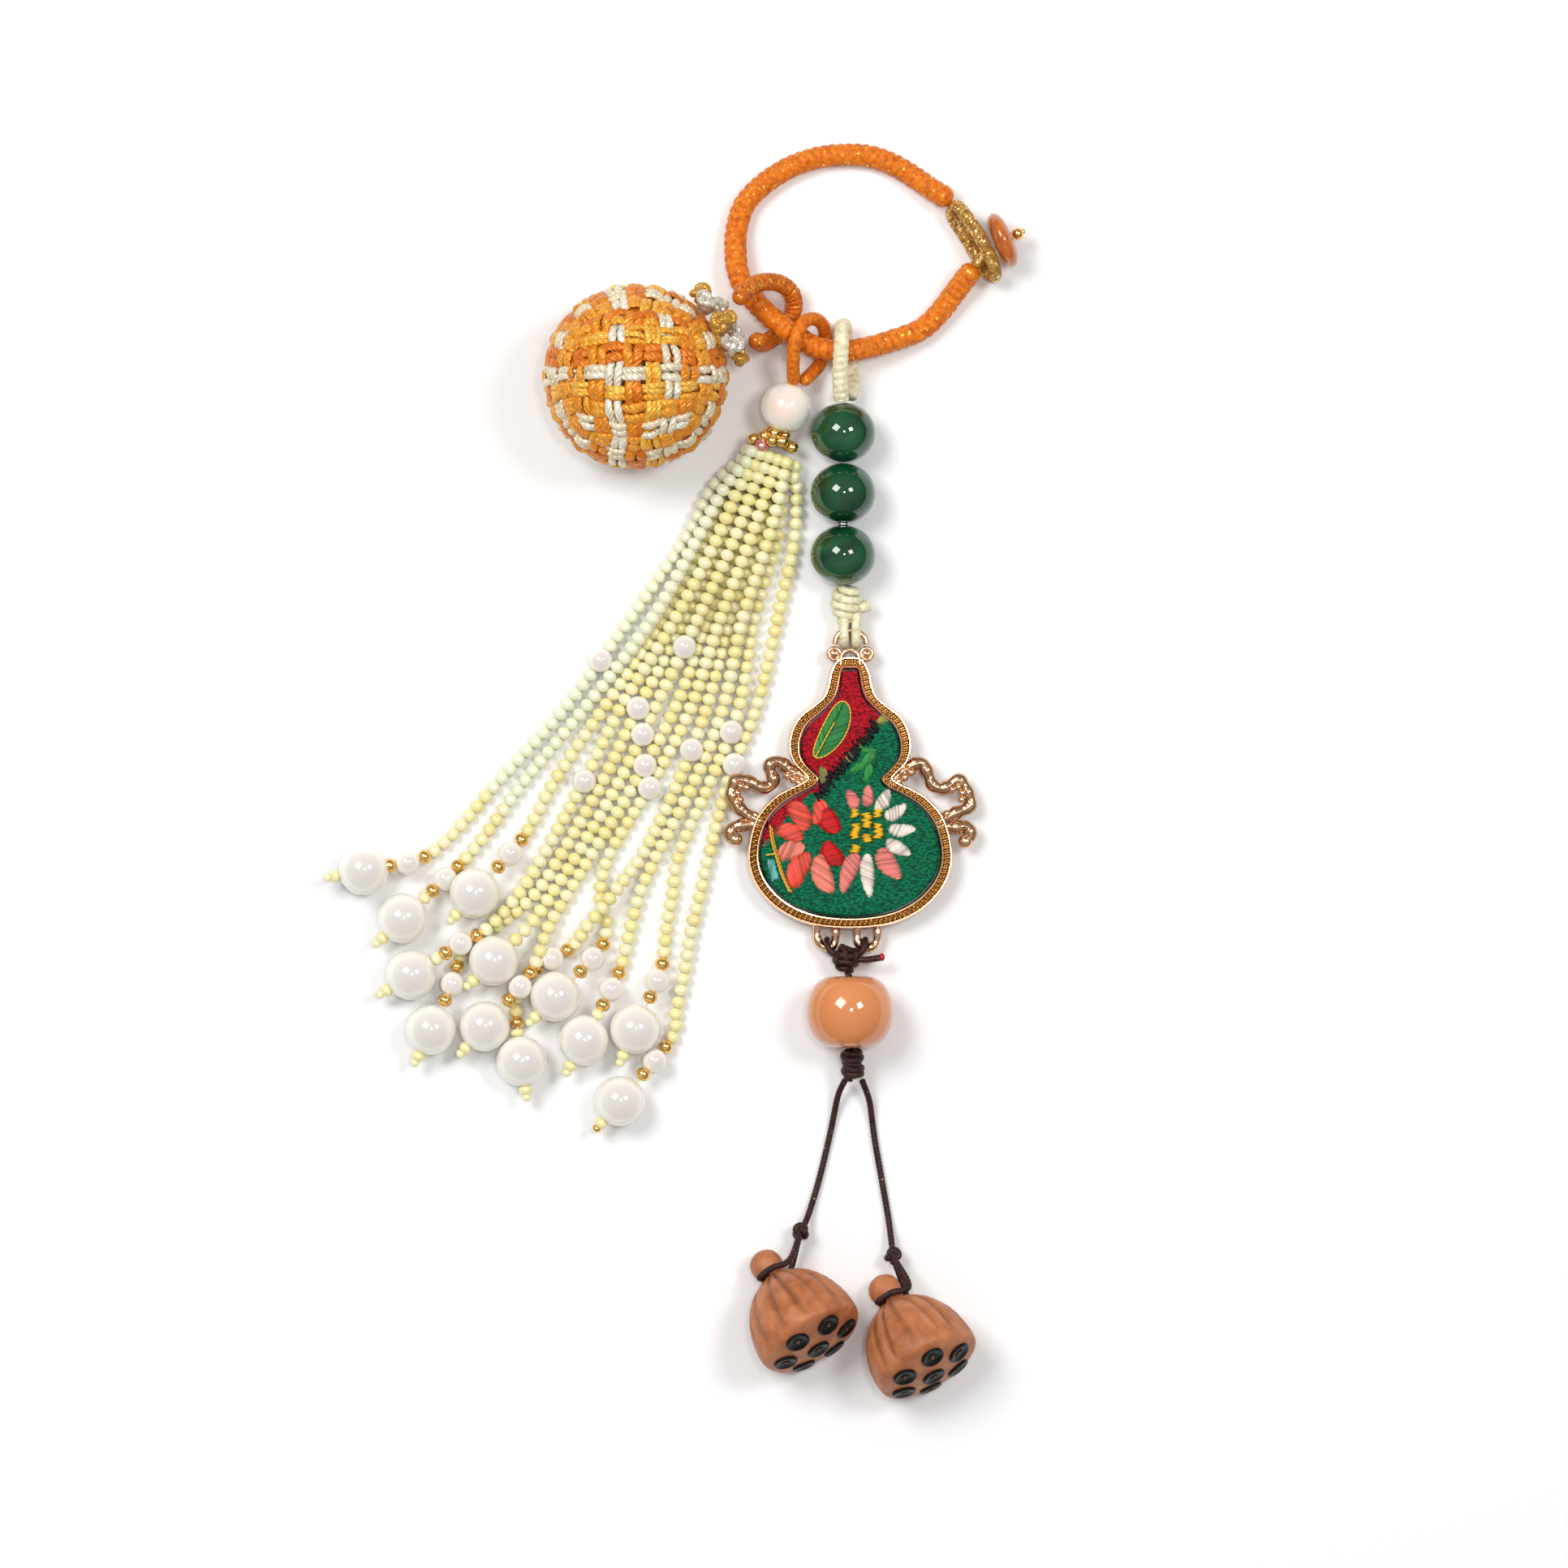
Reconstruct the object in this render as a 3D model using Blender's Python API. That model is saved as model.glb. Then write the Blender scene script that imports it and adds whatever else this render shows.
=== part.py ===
"""Embroidered tassel charm, lying flat: a silk carry cord with a button closure, and on it a woven
silk ball, a tassel of twelve bead strands, and a gourd pendant with embroidered cloth faces, a
barrel bead and two carved lotus pods. Lengths are in millimetres until a mesh is made, x to the
right, y towards the carry cord and z up from the table."""

import math

import bmesh
import bpy
from mathutils import Vector

MM = 0.001
GAP = 0.3
# The plan is measured from the middle of the whole outline, cords included. The origin lies under
# the middle of the pieces other than the cords.
PLAN_SHIFT_Y = 5.85

WRIST_CORD_D = 4.5
BALL_LOOP_D = 3.6
TASSEL_LOOP_D = 2.7
CREAM_LOOP_D = 3.2
CLOSURE_D = 2.7
SHANK_D = 2.2
POD_CORD_D = 1.3

BALL_CENTRE = Vector((-6.9, 77.3, 17.9))
BALL_R = 18.0
BALL_FLAT_R = 4.0
STRIPS_A_FACE = 5
WEAVE_HEIGHT = 0.45
BALL_POLE = Vector((0.85, 0.527, 0.0))

PEARL_R = 5.0
HEAD_PEARL = Vector((22.7, 71.9, 5.0))
STRAND_HALF = 1.2
LAYER_PITCH = 2.7
SMALL_PEARL_HALF = 1.7
# The seed bead and the smaller bead that end a strand: distance from the big pearl's centre, radius
PEARL_TIP = [(5.0, 1.0), (6.1, 1.3), (7.0, 0.8), (7.6, 0.95), (8.2, 0.0)]
RING_SPACING = 6.7

GREEN_BEAD_R = 6.45
GREEN_BEAD_HALF_LENGTH = 5.8
GREEN_BEADS = ((34.0, 66.8), (34.0, 54.8), (34.0, 42.5))

BARREL_CENTRE = Vector((35.3, -47.8, 8.65))
BARREL_R = 8.65
BARREL_HALF_LENGTH = 7.0

GOURD_X = 35.4
FRAME_TOP = 5.5
CLOTH_THICK = 1.2
CLOTH_CLEAR = 0.35

# Half of the gourd's rim, from the top down: inner edge and outer edge.
# inner x, inner y, outer x, outer y
RIM = (
    (0.0, 20.0, 0.0, 22.6),
    (1.5, 19.9, 2.4, 22.0),
    (1.9, 17.9, 3.9, 19.6),
    (2.2, 16.2, 4.5, 16.8),
    (3.1, 14.0, 5.5, 14.4),
    (5.6, 11.4, 7.4, 12.8),
    (8.4, 8.9, 10.3, 10.5),
    (9.7, 6.0, 12.0, 6.9),
    (9.8, 3.3, 12.1, 3.6),
    (9.0, 1.4, 11.2, 1.3),
    (7.4, -0.4, 9.6, -0.3),
    (6.1, -1.9, 8.6, -1.6),
    (7.6, -3.5, 9.8, -2.6),
    (10.4, -4.9, 12.4, -3.8),
    (13.9, -7.2, 15.5, -5.7),
    (16.6, -10.7, 18.7, -9.6),
    (17.9, -15.3, 20.2, -15.0),
    (17.7, -19.3, 20.1, -19.6),
    (15.9, -22.9, 18.1, -24.0),
    (12.4, -26.2, 14.0, -28.0),
    (7.1, -28.5, 8.0, -30.7),
    (0.0, -29.3, 0.0, -31.5),
)

# Where each strand lies on the table: its x at each of these heights, and which layer of the
# bundle it lies in there.
STATION_Y = (56.0, 45.7, 29.6, 12.6, -1.9, -16.4, -24.4, -30.9)
# pearl, x at each station, layers, points after the stations, pearl centre, small pearl before
# the big one (0 for none), length of the climb to the pearl, small pearls farther up
STRANDS = (
    ("01", (8.1, 2.6, -8.5, -21.0, -34.0), "11111", ((-47.6, -16.4),), (-61.0, -19.8), 8.8, 13, (21.7,)),
    ("02", (10.5, 5.0, -4.0, -17.0, -28.9, -39.8), "222111", (), (-53.2, -29.4), 11.4, 8.6, ()),
    ("03", (11.0, 6.9, -1.7, -13.3, -23.0), "11111", ((-29.4, -13.3),), (-39.0, -24.4), 10.5, 13, ()),
    ("04", (13.4, 8.9, 0.5, -10.0, -17.2, -25.2, -30.2), "2221111", ((-36.6, -31.5), (-41.8, -34.4)),
     (-51.6, -40.6), 11.6, 28, (-2.2,)),
    ("06", (13.8, 10.6, 2.6, -6.5, -13.5, -21.7, -26.9), "1111111",
     ((-33.8, -30.4), (-39.8, -33.5), (-42.2, -37.5), (-43.6, -42.8)), (-47.7, -51.5), 10.0, 12, (12.3,)),
    ("05", (16.2, 12.4, 5.0, -3.1, -10.2, -18.5, -23.7), "2221111", ((-28.2, -30.9),), (-35.2, -37.8), 0, 13,
     (24.4, 7.0)),
    ("07", (16.6, 14.0, 7.2, 0.8, -6.9, -15.6, -20.4, -24.2), "11111111", ((-28.2, -40.6),), (-37.0, -50.8),
     10.5, 28, (0.9,)),
    ("08", (19.0, 15.6, 9.5, 3.9, -3.4, -12.1, -14.2, -12.9), "22211111", ((-14.6, -36.2),), (-23.0, -44.9),
     10.5, 15, (-3.6,)),
    ("09", (19.3, 17.2, 11.5, 7.0, 1.5, -5.6, -11.4, -16.6), "11111122",
     ((-19.9, -35.3), (-25.5, -38.4), (-29.2, -41.2), (-30.7, -44.6), (-30.9, -48.6)), (-29.7, -57.7),
     23.6, 6.9, (4.0,)),
    ("10", (21.8, 19.2, 14.0, 10.3, 4.7, -2.6, -6.2, -8.0), "22211111", ((-10.6, -40.6),), (-17.4, -53.6),
     11.5, 15, ()),
    ("11", (22.0, 20.8, 16.3, 13.5, 7.9, 1.6, 0.3, -0.9), "11111111", ((-2.3, -40.3),), (-7.2, -51.4),
     10.5, 15, (7.5,)),
    ("12", (24.8, 24.4, 21.0, 17.0, 11.4, 7.6, 5.8, 4.2), "11111111",
     ((2.4, -41.2), (0.9, -48.1), (-0.2, -53.6)), (-10.2, -65.6), 10.5, 15, (1.0,)),
)
HEAD_ROOT = Vector((19.2, 60.3, 3.0))
HEAD_SPREAD = 10.2

WRIST_ROUTE = (
    (54.2, 113.5, 4.4), (51.6, 115.2, 3.2), (45.0, 119.6, 2.3), (39.7, 121.7, 2.3), (34.4, 122.1, 2.3),
    (28.5, 121.4, 2.3), (22.9, 119.3, 2.3), (18.0, 116.0, 2.3), (14.5, 112.2, 2.4), (12.9, 107.3, 2.9),
    (12.7, 102.8, 4.0), (13.1, 98.9, 5.2), (14.7, 95.0, 6.1), (18.2, 91.0, 6.6), (21.9, 87.8, 6.7),
    (25.0, 85.6, 6.5), (29.0, 83.6, 6.2), (33.9, 83.0, 6.1), (38.7, 83.6, 5.3), (44.0, 85.2, 3.7),
    (49.4, 87.3, 2.6), (52.9, 90.4, 2.4), (56.0, 94.4, 3.2), (58.0, 97.0, 4.2), (59.3, 98.7, 4.8),
)
BALL_LOOP_ROUTE = (
    (13.7, 93.1, 15.6), (15.8, 95.3, 12.8), (18.5, 96.4, 9.8), (21.6, 96.2, 6.9), (23.8, 94.4, 4.4),
    (24.3, 91.7, 2.6), (23.3, 89.0, 1.95), (21.4, 86.6, 1.95), (19.4, 85.2, 3.4), (18.3, 84.5, 6.5),
    (17.7, 84.3, 10.0), (17.0, 84.5, 13.4),
)
TASSEL_LOOP_ROUTE = (
    (24.2, 77.4, 7.2), (24.1, 80.0, 9.0), (24.3, 83.4, 10.6), (25.0, 86.4, 10.6), (26.3, 88.6, 8.9),
    (28.3, 89.3, 6.2), (30.0, 88.2, 3.4), (30.5, 85.8, 1.7), (30.2, 83.0, 1.5), (29.3, 80.4, 2.1),
    (27.6, 78.4, 3.8), (26.6, 77.4, 5.2),
)
CREAM_LOOP_ROUTE = (
    (33.6, 73.4, 7.2), (33.4, 77.4, 9.1), (33.5, 81.8, 10.2), (33.7, 85.2, 9.8), (33.9, 87.3, 7.6),
    (34.1, 87.9, 4.8), (34.4, 86.4, 2.3), (35.0, 83.0, 1.65), (35.6, 79.2, 1.9), (35.9, 76.8, 3.0),
    (35.2, 74.0, 4.6),
)
CLOSURE_RING = (
    (56.7, 111.5, 5.9), (60.2, 107.0, 7.6), (62.3, 103.0, 8.2), (63.8, 99.7, 7.4), (64.0, 97.9, 5.0),
    (62.8, 98.6, 2.6), (60.6, 101.9, 2.0), (58.2, 105.9, 2.3), (55.8, 109.8, 3.4),
)
SHANK_ROUTE = ((60.1, 99.9, 5.0), (61.6, 101.6, 5.3), (63.4, 103.6, 5.6))
BUTTON_CENTRE = Vector((65.6, 104.9, 5.9))
BUTTON_AXIS = Vector((0.92, 0.39, 0.0))

POD_CORD_LEFT = (
    (34.4, -61.5, 4.2), (33.1, -64.4, 2.6), (32.2, -68.6, 1.1), (31.3, -73.0, 0.75), (29.4, -80.9, 0.7),
    (27.6, -87.0, 1.2), (26.6, -89.7, 2.6),
)
POD_CORD_RIGHT = (
    (37.8, -61.5, 4.2), (39.2, -65.5, 2.2), (39.8, -69.6, 0.9), (40.4, -74.0, 0.75), (41.9, -82.5, 0.7),
    (43.1, -89.5, 0.9), (43.7, -94.2, 2.8),
)

# Neck ball centre and the way the pod points in plan; both pods lean up by the same angle.
PODS = (
    ("left", (18.9, -98.4), (0.54, -0.84), (25.6, -91.6)),
    ("right", (42.4, -103.3), (0.50, -0.866), (43.9, -96.4)),
)
POD_LEAN = math.radians(26)
POD_RIDGES = 12
POD_BORE_R = 1.15
# Distance from the neck ball's centre along the pod, radius, depth of the carved grooves
POD_PROFILE = (
    (-3.3, 0.0, 0.0), (-2.6, 2.0, 0.0), (-0.8, 3.2, 0.0), (1.2, 3.1, 0.0), (2.6, 2.6, 0.0), (3.6, 3.4, 0.05),
    (5.2, 5.9, 0.3), (8.0, 8.3, 0.45), (12.0, 10.1, 0.45), (16.0, 10.8, 0.3), (18.8, 10.5, 0.1),
    (20.2, 6.5, 0.0), (21.0, 0.0, 0.0),
)


def clear_scene():
    for old in list(bpy.data.objects):
        bpy.data.objects.remove(old, do_unlink=True)


def material(name, colour, roughness, metallic=0.0):
    made = bpy.data.materials.get(name)
    if made is None:
        made = bpy.data.materials.new(name)
        made.use_nodes = True
        shader = made.node_tree.nodes["Principled BSDF"]
        shader.inputs["Base Color"].default_value = (*colour, 1.0)
        shader.inputs["Roughness"].default_value = roughness
        shader.inputs["Metallic"].default_value = metallic
        made.diffuse_color = (*colour, 1.0)
    return made


def place(obj, finish, helper=False):
    """Gives an object its material and hangs it on the charm's own origin."""
    bpy.context.scene.collection.objects.link(obj)
    obj.parent = CHARM
    obj.data.materials.append(finish)
    if helper:
        obj.hide_render = True
        obj.display_type = "WIRE"
    return obj


def mesh_object(name, bm, finish, helper=False):
    bmesh.ops.remove_doubles(bm, verts=bm.verts, dist=1e-4)
    bmesh.ops.recalc_face_normals(bm, faces=bm.faces)
    bmesh.ops.scale(bm, verts=bm.verts, vec=(MM, MM, MM))
    mesh = bpy.data.meshes.new(name)
    bm.to_mesh(mesh)
    bm.free()
    mesh.shade_smooth()
    mesh.set_sharp_from_angle(angle=math.radians(40))
    return place(bpy.data.objects.new(name, mesh), finish, helper)


def smooth_route(points, step, closed=False):
    """Points about one step apart along a smooth curve through the given ones."""
    points = [Vector(p) for p in points]
    count = len(points)
    spans = count if closed else count - 1
    dense = []
    for i in range(spans):
        if closed:
            a, b, c, d = (points[(i + k) % count] for k in (-1, 0, 1, 2))
        else:
            b, c = points[i], points[i + 1]
            a = points[i - 1] if i else b * 2 - c
            d = points[i + 2] if i + 2 < count else c * 2 - b
        for k in range(12):
            t = k / 12
            dense.append(
                b + 0.5 * t * ((c - a) + t * (2 * a - 5 * b + 4 * c - d + t * (3 * b - a - 3 * c + d)))
            )
    dense.append(points[0].copy() if closed else points[-1].copy())
    lengths = [0.0]
    for p, q in zip(dense, dense[1:]):
        lengths.append(lengths[-1] + (q - p).length)
    steps = max(2, round(lengths[-1] / step))
    found = []
    k = 0
    for i in range(steps + 1):
        wanted = lengths[-1] * i / steps
        while k < len(lengths) - 2 and lengths[k + 1] < wanted:
            k += 1
        part = (wanted - lengths[k]) / max(1e-9, lengths[k + 1] - lengths[k])
        found.append(dense[k].lerp(dense[k + 1], part))
    return found[:-1] if closed else found


def cord(name, route, diameter, finish, resolution=2):
    """A plain tube with flat ends, a point every two or three diameters."""
    curve = bpy.data.curves.new(name, "CURVE")
    curve.dimensions = "3D"
    curve.bevel_depth = diameter / 2 * MM
    curve.bevel_resolution = resolution
    curve.use_fill_caps = True
    points = smooth_route(route, min(2.0 * diameter, 4.0) if diameter > 2 else 2.6 * diameter)
    spline = curve.splines.new("POLY")
    spline.points.add(len(points) - 1)
    for point, at in zip(spline.points, points):
        point.co = (*(at * MM), 1.0)
    spline.use_smooth = True
    return place(bpy.data.objects.new(name, curve), finish)


def sweep(bm, centres, halves, sides, closed=False, level=False):
    """A tube with its own half width and half height at each point. A level one keeps a flat side down."""
    count = len(centres)
    rings = []
    for i, centre in enumerate(centres):
        before = centres[i - 1] if i or closed else centre
        after = centres[(i + 1) % count] if i < count - 1 or closed else centre
        tangent = (after - before).normalized()
        if level or i == 0:
            normal = Vector((0, 0, 1)) if abs(tangent.z) < 0.9 else Vector((0, 1, 0))
        normal = (normal - tangent * normal.dot(tangent)).normalized()
        side = tangent.cross(normal)
        half_width, half_height = halves[i]
        ring = []
        for k in range(sides):
            angle = math.tau * (k + 0.5) / sides
            reach = 1 / math.cos(math.pi / sides) if sides == 4 else 1.0
            across = side * (half_width * reach * math.cos(angle))
            ring.append(bm.verts.new(centre + across + normal * (half_height * reach * math.sin(angle))))
        rings.append(ring)
    pairs = list(zip(rings, rings[1:]))
    if closed:
        start = min(range(sides), key=lambda k: (rings[0][k].co - rings[-1][0].co).length)
        pairs.append((rings[-1], rings[0][start:] + rings[0][:start]))
    for one, two in pairs:
        for k in range(sides):
            bm.faces.new((one[k], one[(k + 1) % sides], two[(k + 1) % sides], two[k]))
    if not closed:
        bm.faces.new(rings[0])
        bm.faces.new(rings[-1])


def turn(bm, profile, centre, axis, segments, ridges=0, start=0.5):
    """A turned shape. Each row of the profile is a distance along the axis, a radius and a groove depth."""
    axis = Vector(axis).normalized()
    side = axis.cross(Vector((0, 0, 1))).normalized()
    up = side.cross(axis)
    centre = Vector(centre)
    rings = []
    for along, radius, *groove in profile:
        depth = groove[0] if groove else 0.0
        ring = []
        for k in range(1 if radius == 0 else segments):
            angle = math.tau * (k + start) / segments
            r = radius - (depth * (1 - math.cos(ridges * angle)) if ridges else 0.0)
            outward = side * (r * math.cos(angle)) + up * (r * math.sin(angle))
            ring.append(bm.verts.new(centre + axis * along + outward))
        rings.append(ring)
    for one, two in zip(rings, rings[1:]):
        for k in range(segments):
            corners = [one[k % len(one)], one[(k + 1) % len(one)], two[(k + 1) % len(two)], two[k % len(two)]]
            bm.faces.new(list(dict.fromkeys(corners)))
    for ring in (rings[0], rings[-1]):
        if len(ring) > 1:
            bm.faces.new(ring)


def ball_profile(radius, half_length, rings):
    """A round bead's profile, from one end of its bore to the other."""
    rows = []
    for i in range(rings + 1):
        angle = math.pi * i / rings
        r = 0.0 if i in (0, rings) else radius * math.sin(angle)
        rows.append((-half_length * math.cos(angle), r))
    return rows


def join(base, helpers, operation="UNION"):
    """One solid from a base and its helpers."""
    for helper in helpers:
        modifier = base.modifiers.new(helper.name, "BOOLEAN")
        modifier.operation = operation
        modifier.solver = "EXACT"
        modifier.object = helper


def helper_tube(name, route, half, finish, sides=6, step=2.0):
    bm = bmesh.new()
    centres = smooth_route(route, step)
    sweep(bm, centres, [(half, half)] * len(centres), sides)
    return mesh_object(name, bm, finish, helper=True)


def helper_ball(name, centre, radius, finish, segments=7):
    bm = bmesh.new()
    turn(bm, ball_profile(radius, radius, 6), centre, (0.3, 1, 0.2), segments)
    return mesh_object(name, bm, finish, helper=True)


def make_closure(gold, stone):
    bm = bmesh.new()
    centres = smooth_route(CLOSURE_RING, 2.4, closed=True)
    sweep(bm, centres, [(CLOSURE_D / 2, CLOSURE_D / 2)] * len(centres), 7, closed=True)
    mesh_object("closure_loop", bm, gold)
    bm = bmesh.new()
    centres = smooth_route(SHANK_ROUTE, 1.2)
    sweep(bm, centres, [(SHANK_D / 2, SHANK_D / 2)] * len(centres), 7)
    mesh_object("button_shank", bm, gold)
    bm = bmesh.new()
    disc = ((-1.9, 3.2), (-1.6, 4.9), (-0.6, 5.8), (0.6, 5.8), (1.6, 4.9), (1.9, 3.2))
    turn(bm, disc, BUTTON_CENTRE, BUTTON_AXIS, 18)
    mesh_object("button_disc", bm, stone)
    bm = bmesh.new()
    knob_centre = BUTTON_CENTRE + BUTTON_AXIS.normalized() * (1.9 + GAP + 1.1)
    turn(bm, ball_profile(1.25, 1.1, 4), knob_centre, BUTTON_AXIS, 8)
    mesh_object("button_knob", bm, gold)


def weave_height(column, row):
    """High where a strip crosses over, low in the corner between four strips."""
    at_seam = column in (0, 2 * STRIPS_A_FACE) or row in (0, 2 * STRIPS_A_FACE)
    if at_seam and (column % 2 or row % 2):
        return -0.2 * WEAVE_HEIGHT
    if column % 2 and row % 2:
        return WEAVE_HEIGHT
    if column % 2 == 0 and row % 2 == 0:
        return -WEAVE_HEIGHT
    over_along_rows = (column // 2 + row // 2) % 2 == 0
    runs_along_rows = column % 2 == 0
    return 0.25 * WEAVE_HEIGHT if over_along_rows == runs_along_rows else -0.35 * WEAVE_HEIGHT


def make_ball(silk):
    """The woven ball: six faces of a cube swollen to a sphere, its weave raised in the points."""
    bm = bmesh.new()
    cells = 2 * STRIPS_A_FACE
    frames = (((1, 0, 0), (0, 1, 0)), ((-1, 0, 0), (0, 1, 0)), ((0, 1, 0), (0, 0, 1)),
              ((0, -1, 0), (0, 0, 1)), ((0, 0, 1), (1, 0, 0)), ((0, 0, -1), (1, 0, 0)))
    for face_axis, row_axis in frames:
        out = Vector(face_axis)
        up = Vector(row_axis)
        side = up.cross(out)
        grid = []
        for row in range(cells + 1):
            line = []
            for column in range(cells + 1):
                u = math.tan((column / cells - 0.5) * math.pi / 2)
                v = math.tan((row / cells - 0.5) * math.pi / 2)
                way = (out + side * u + up * v).normalized()
                point = BALL_CENTRE + way * (BALL_R + weave_height(column, row))
                if way.z < 0 and Vector((way.x, way.y)).length * BALL_R < BALL_FLAT_R:
                    point.z = 0.0
                line.append(bm.verts.new((point.x, point.y, max(0.0, point.z))))
            grid.append(line)
        for row in range(cells):
            for column in range(cells):
                bm.faces.new((grid[row][column], grid[row][column + 1], grid[row + 1][column + 1],
                              grid[row + 1][column]))
    mesh_object("woven_ball", bm, silk)


def knot_ring(name, along, ring_r, knot_r, knots, finish):
    """A ring of small round knots about the ball's pole."""
    pole = BALL_POLE.normalized()
    side = pole.cross(Vector((0, 0, 1)))
    middle = BALL_CENTRE + pole * along
    centres = []
    halves = []
    for k in range(4 * knots):
        angle = math.tau * k / (4 * knots)
        centres.append(middle + side * (ring_r * math.cos(angle)) + Vector((0, 0, ring_r * math.sin(angle))))
        half = knot_r * (1.0, 0.86, 0.5, 0.86)[k % 4]
        halves.append((half, half))
    bm = bmesh.new()
    sweep(bm, centres, halves, 6, closed=True)
    mesh_object(name, bm, finish)


def along_strand(points):
    """Distance back from the last point, at each point."""
    back = [0.0]
    for p, q in zip(reversed(points[:-1]), reversed(points[1:])):
        back.append(back[-1] + (q - p).length)
    return list(reversed(back))


def strand_root(row):
    """Where a strand leaves the head, side by side in two layers."""
    offset = HEAD_SPREAD * (row / (len(STRANDS) - 1) - 0.5)
    return HEAD_ROOT + Vector((0.95, -0.31, 0)) * offset


def strand_plan(row):
    pearl, xs, layers, more, end, before, climb, farther = STRANDS[row]
    root = strand_root(row)
    root.z = 2.6 if layers[0] == "1" else 4.4
    route = [root]
    for x, y, layer in zip(xs, STATION_Y, layers):
        route.append(Vector((x, y, STRAND_HALF + LAYER_PITCH * (int(layer) - 1))))
    for x, y in more:
        route.append(Vector((x, y, STRAND_HALF)))
    route.append(Vector((*end, STRAND_HALF)))
    return route


def strand_points(row):
    """Ring centres and half widths of one strand: level on the table, up to the big pearl's bore."""
    pearl, xs, layers, more, end, before, climb, farther = STRANDS[row]
    line = smooth_route(strand_plan(row), 0.5)
    back = along_strand(line)
    pearls = [before] if before else []
    for y in farther:
        pearls.append(min(zip(back, line), key=lambda item: abs(item[1].y - y))[0])
    rings = round(back[0] / RING_SPACING)
    marks = [back[0] - i * RING_SPACING for i in range(rings)]
    marks = [mark for mark in marks if mark > PEARL_R + 2 and all(abs(mark - p) > 3.6 for p in pearls)]
    for p in pearls:
        marks += [p - 2.3, p - 1.2, p + 1.2, p + 2.3]
    marks.append(PEARL_R + GAP + 0.3)
    centres = []
    halves = []
    for mark in sorted(marks, reverse=True):
        at = min(zip(back, line), key=lambda item: abs(item[0] - mark))[1].copy()
        half = SMALL_PEARL_HALF if any(abs(mark - p) < 1.3 for p in pearls) else STRAND_HALF
        rise = max(0.0, min(1.0, (climb - mark) / (climb - PEARL_R - 0.8)))
        at.z += (PEARL_R - STRAND_HALF) * (1 - (1 - rise) ** 2)
        at.z = max(at.z, half)
        centres.append(at)
        halves.append((half, half))
    return centres, halves


def make_tassel(beads, pearl):
    head_rows = ((5.35, 2.2, 2.0, 5.0), (7.0, 3.6, 3.0, 4.6), (9.2, 4.9, 3.4, 4.0), (11.6, 6.1, 2.9, 3.3),
                 (13.2, 6.2, 2.3, 3.0))
    way = way_to_head()
    centres = []
    for along, half_width, half_height, z in head_rows:
        at = HEAD_PEARL + way * along
        centres.append(Vector((at.x, at.y, z)))
    bm = bmesh.new()
    sweep(bm, centres, [(row[1], row[2]) for row in head_rows], 8, level=True)
    head = mesh_object("tassel", bm, beads)
    strands = []
    for row, strand in enumerate(STRANDS):
        centres, halves = strand_points(row)
        bm = bmesh.new()
        sweep(bm, centres, halves, 4, level=True)
        strands.append(mesh_object("strand_" + strand[0], bm, beads, helper=True))
        way = (centres[-1] - centres[-2]).normalized()
        way = Vector((way.x, way.y, 0)).normalized()
        profile = ball_profile(PEARL_R, PEARL_R, 7)[:-1]
        profile += PEARL_TIP
        bm = bmesh.new()
        turn(bm, profile, (*strand[4], PEARL_R), way, 9, start=0.75)
        mesh_object("pearl_" + strand[0], bm, pearl)
    join(head, strands)
    bm = bmesh.new()
    turn(bm, ball_profile(PEARL_R, PEARL_R, 8), HEAD_PEARL, way_to_head(), 12)
    mesh_object("head_pearl", bm, pearl)


def way_to_head():
    return Vector((HEAD_ROOT.x - HEAD_PEARL.x, HEAD_ROOT.y - HEAD_PEARL.y, 0)).normalized()


def rim_side(first, second, rows):
    """One half of a rim line, smoothed to twice the rows of the table."""
    points = [Vector((row[first], row[second], 0)) for row in rows]
    found = []
    for i, (b, c) in enumerate(zip(points, points[1:])):
        a = points[i - 1] if i else Vector((-c.x, c.y, 0))
        d = points[i + 2] if i + 2 < len(points) else Vector((-b.x, b.y, 0))
        found += [b, (b + c) * 0.5625 - (a + d) * 0.0625]
    return found + [points[-1]]


def rim_loop(part, z):
    """A closed line part of the way from the rim's inner edge to its outer edge."""
    inner = rim_side(0, 1, RIM)
    outer = rim_side(2, 3, RIM)
    half = [p.lerp(q, part) for p, q in zip(inner, outer)]
    right = [Vector((GOURD_X + p.x, p.y, z)) for p in half]
    left = [Vector((GOURD_X - p.x, p.y, z)) for p in reversed(half[1:-1])]
    return right + left


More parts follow.
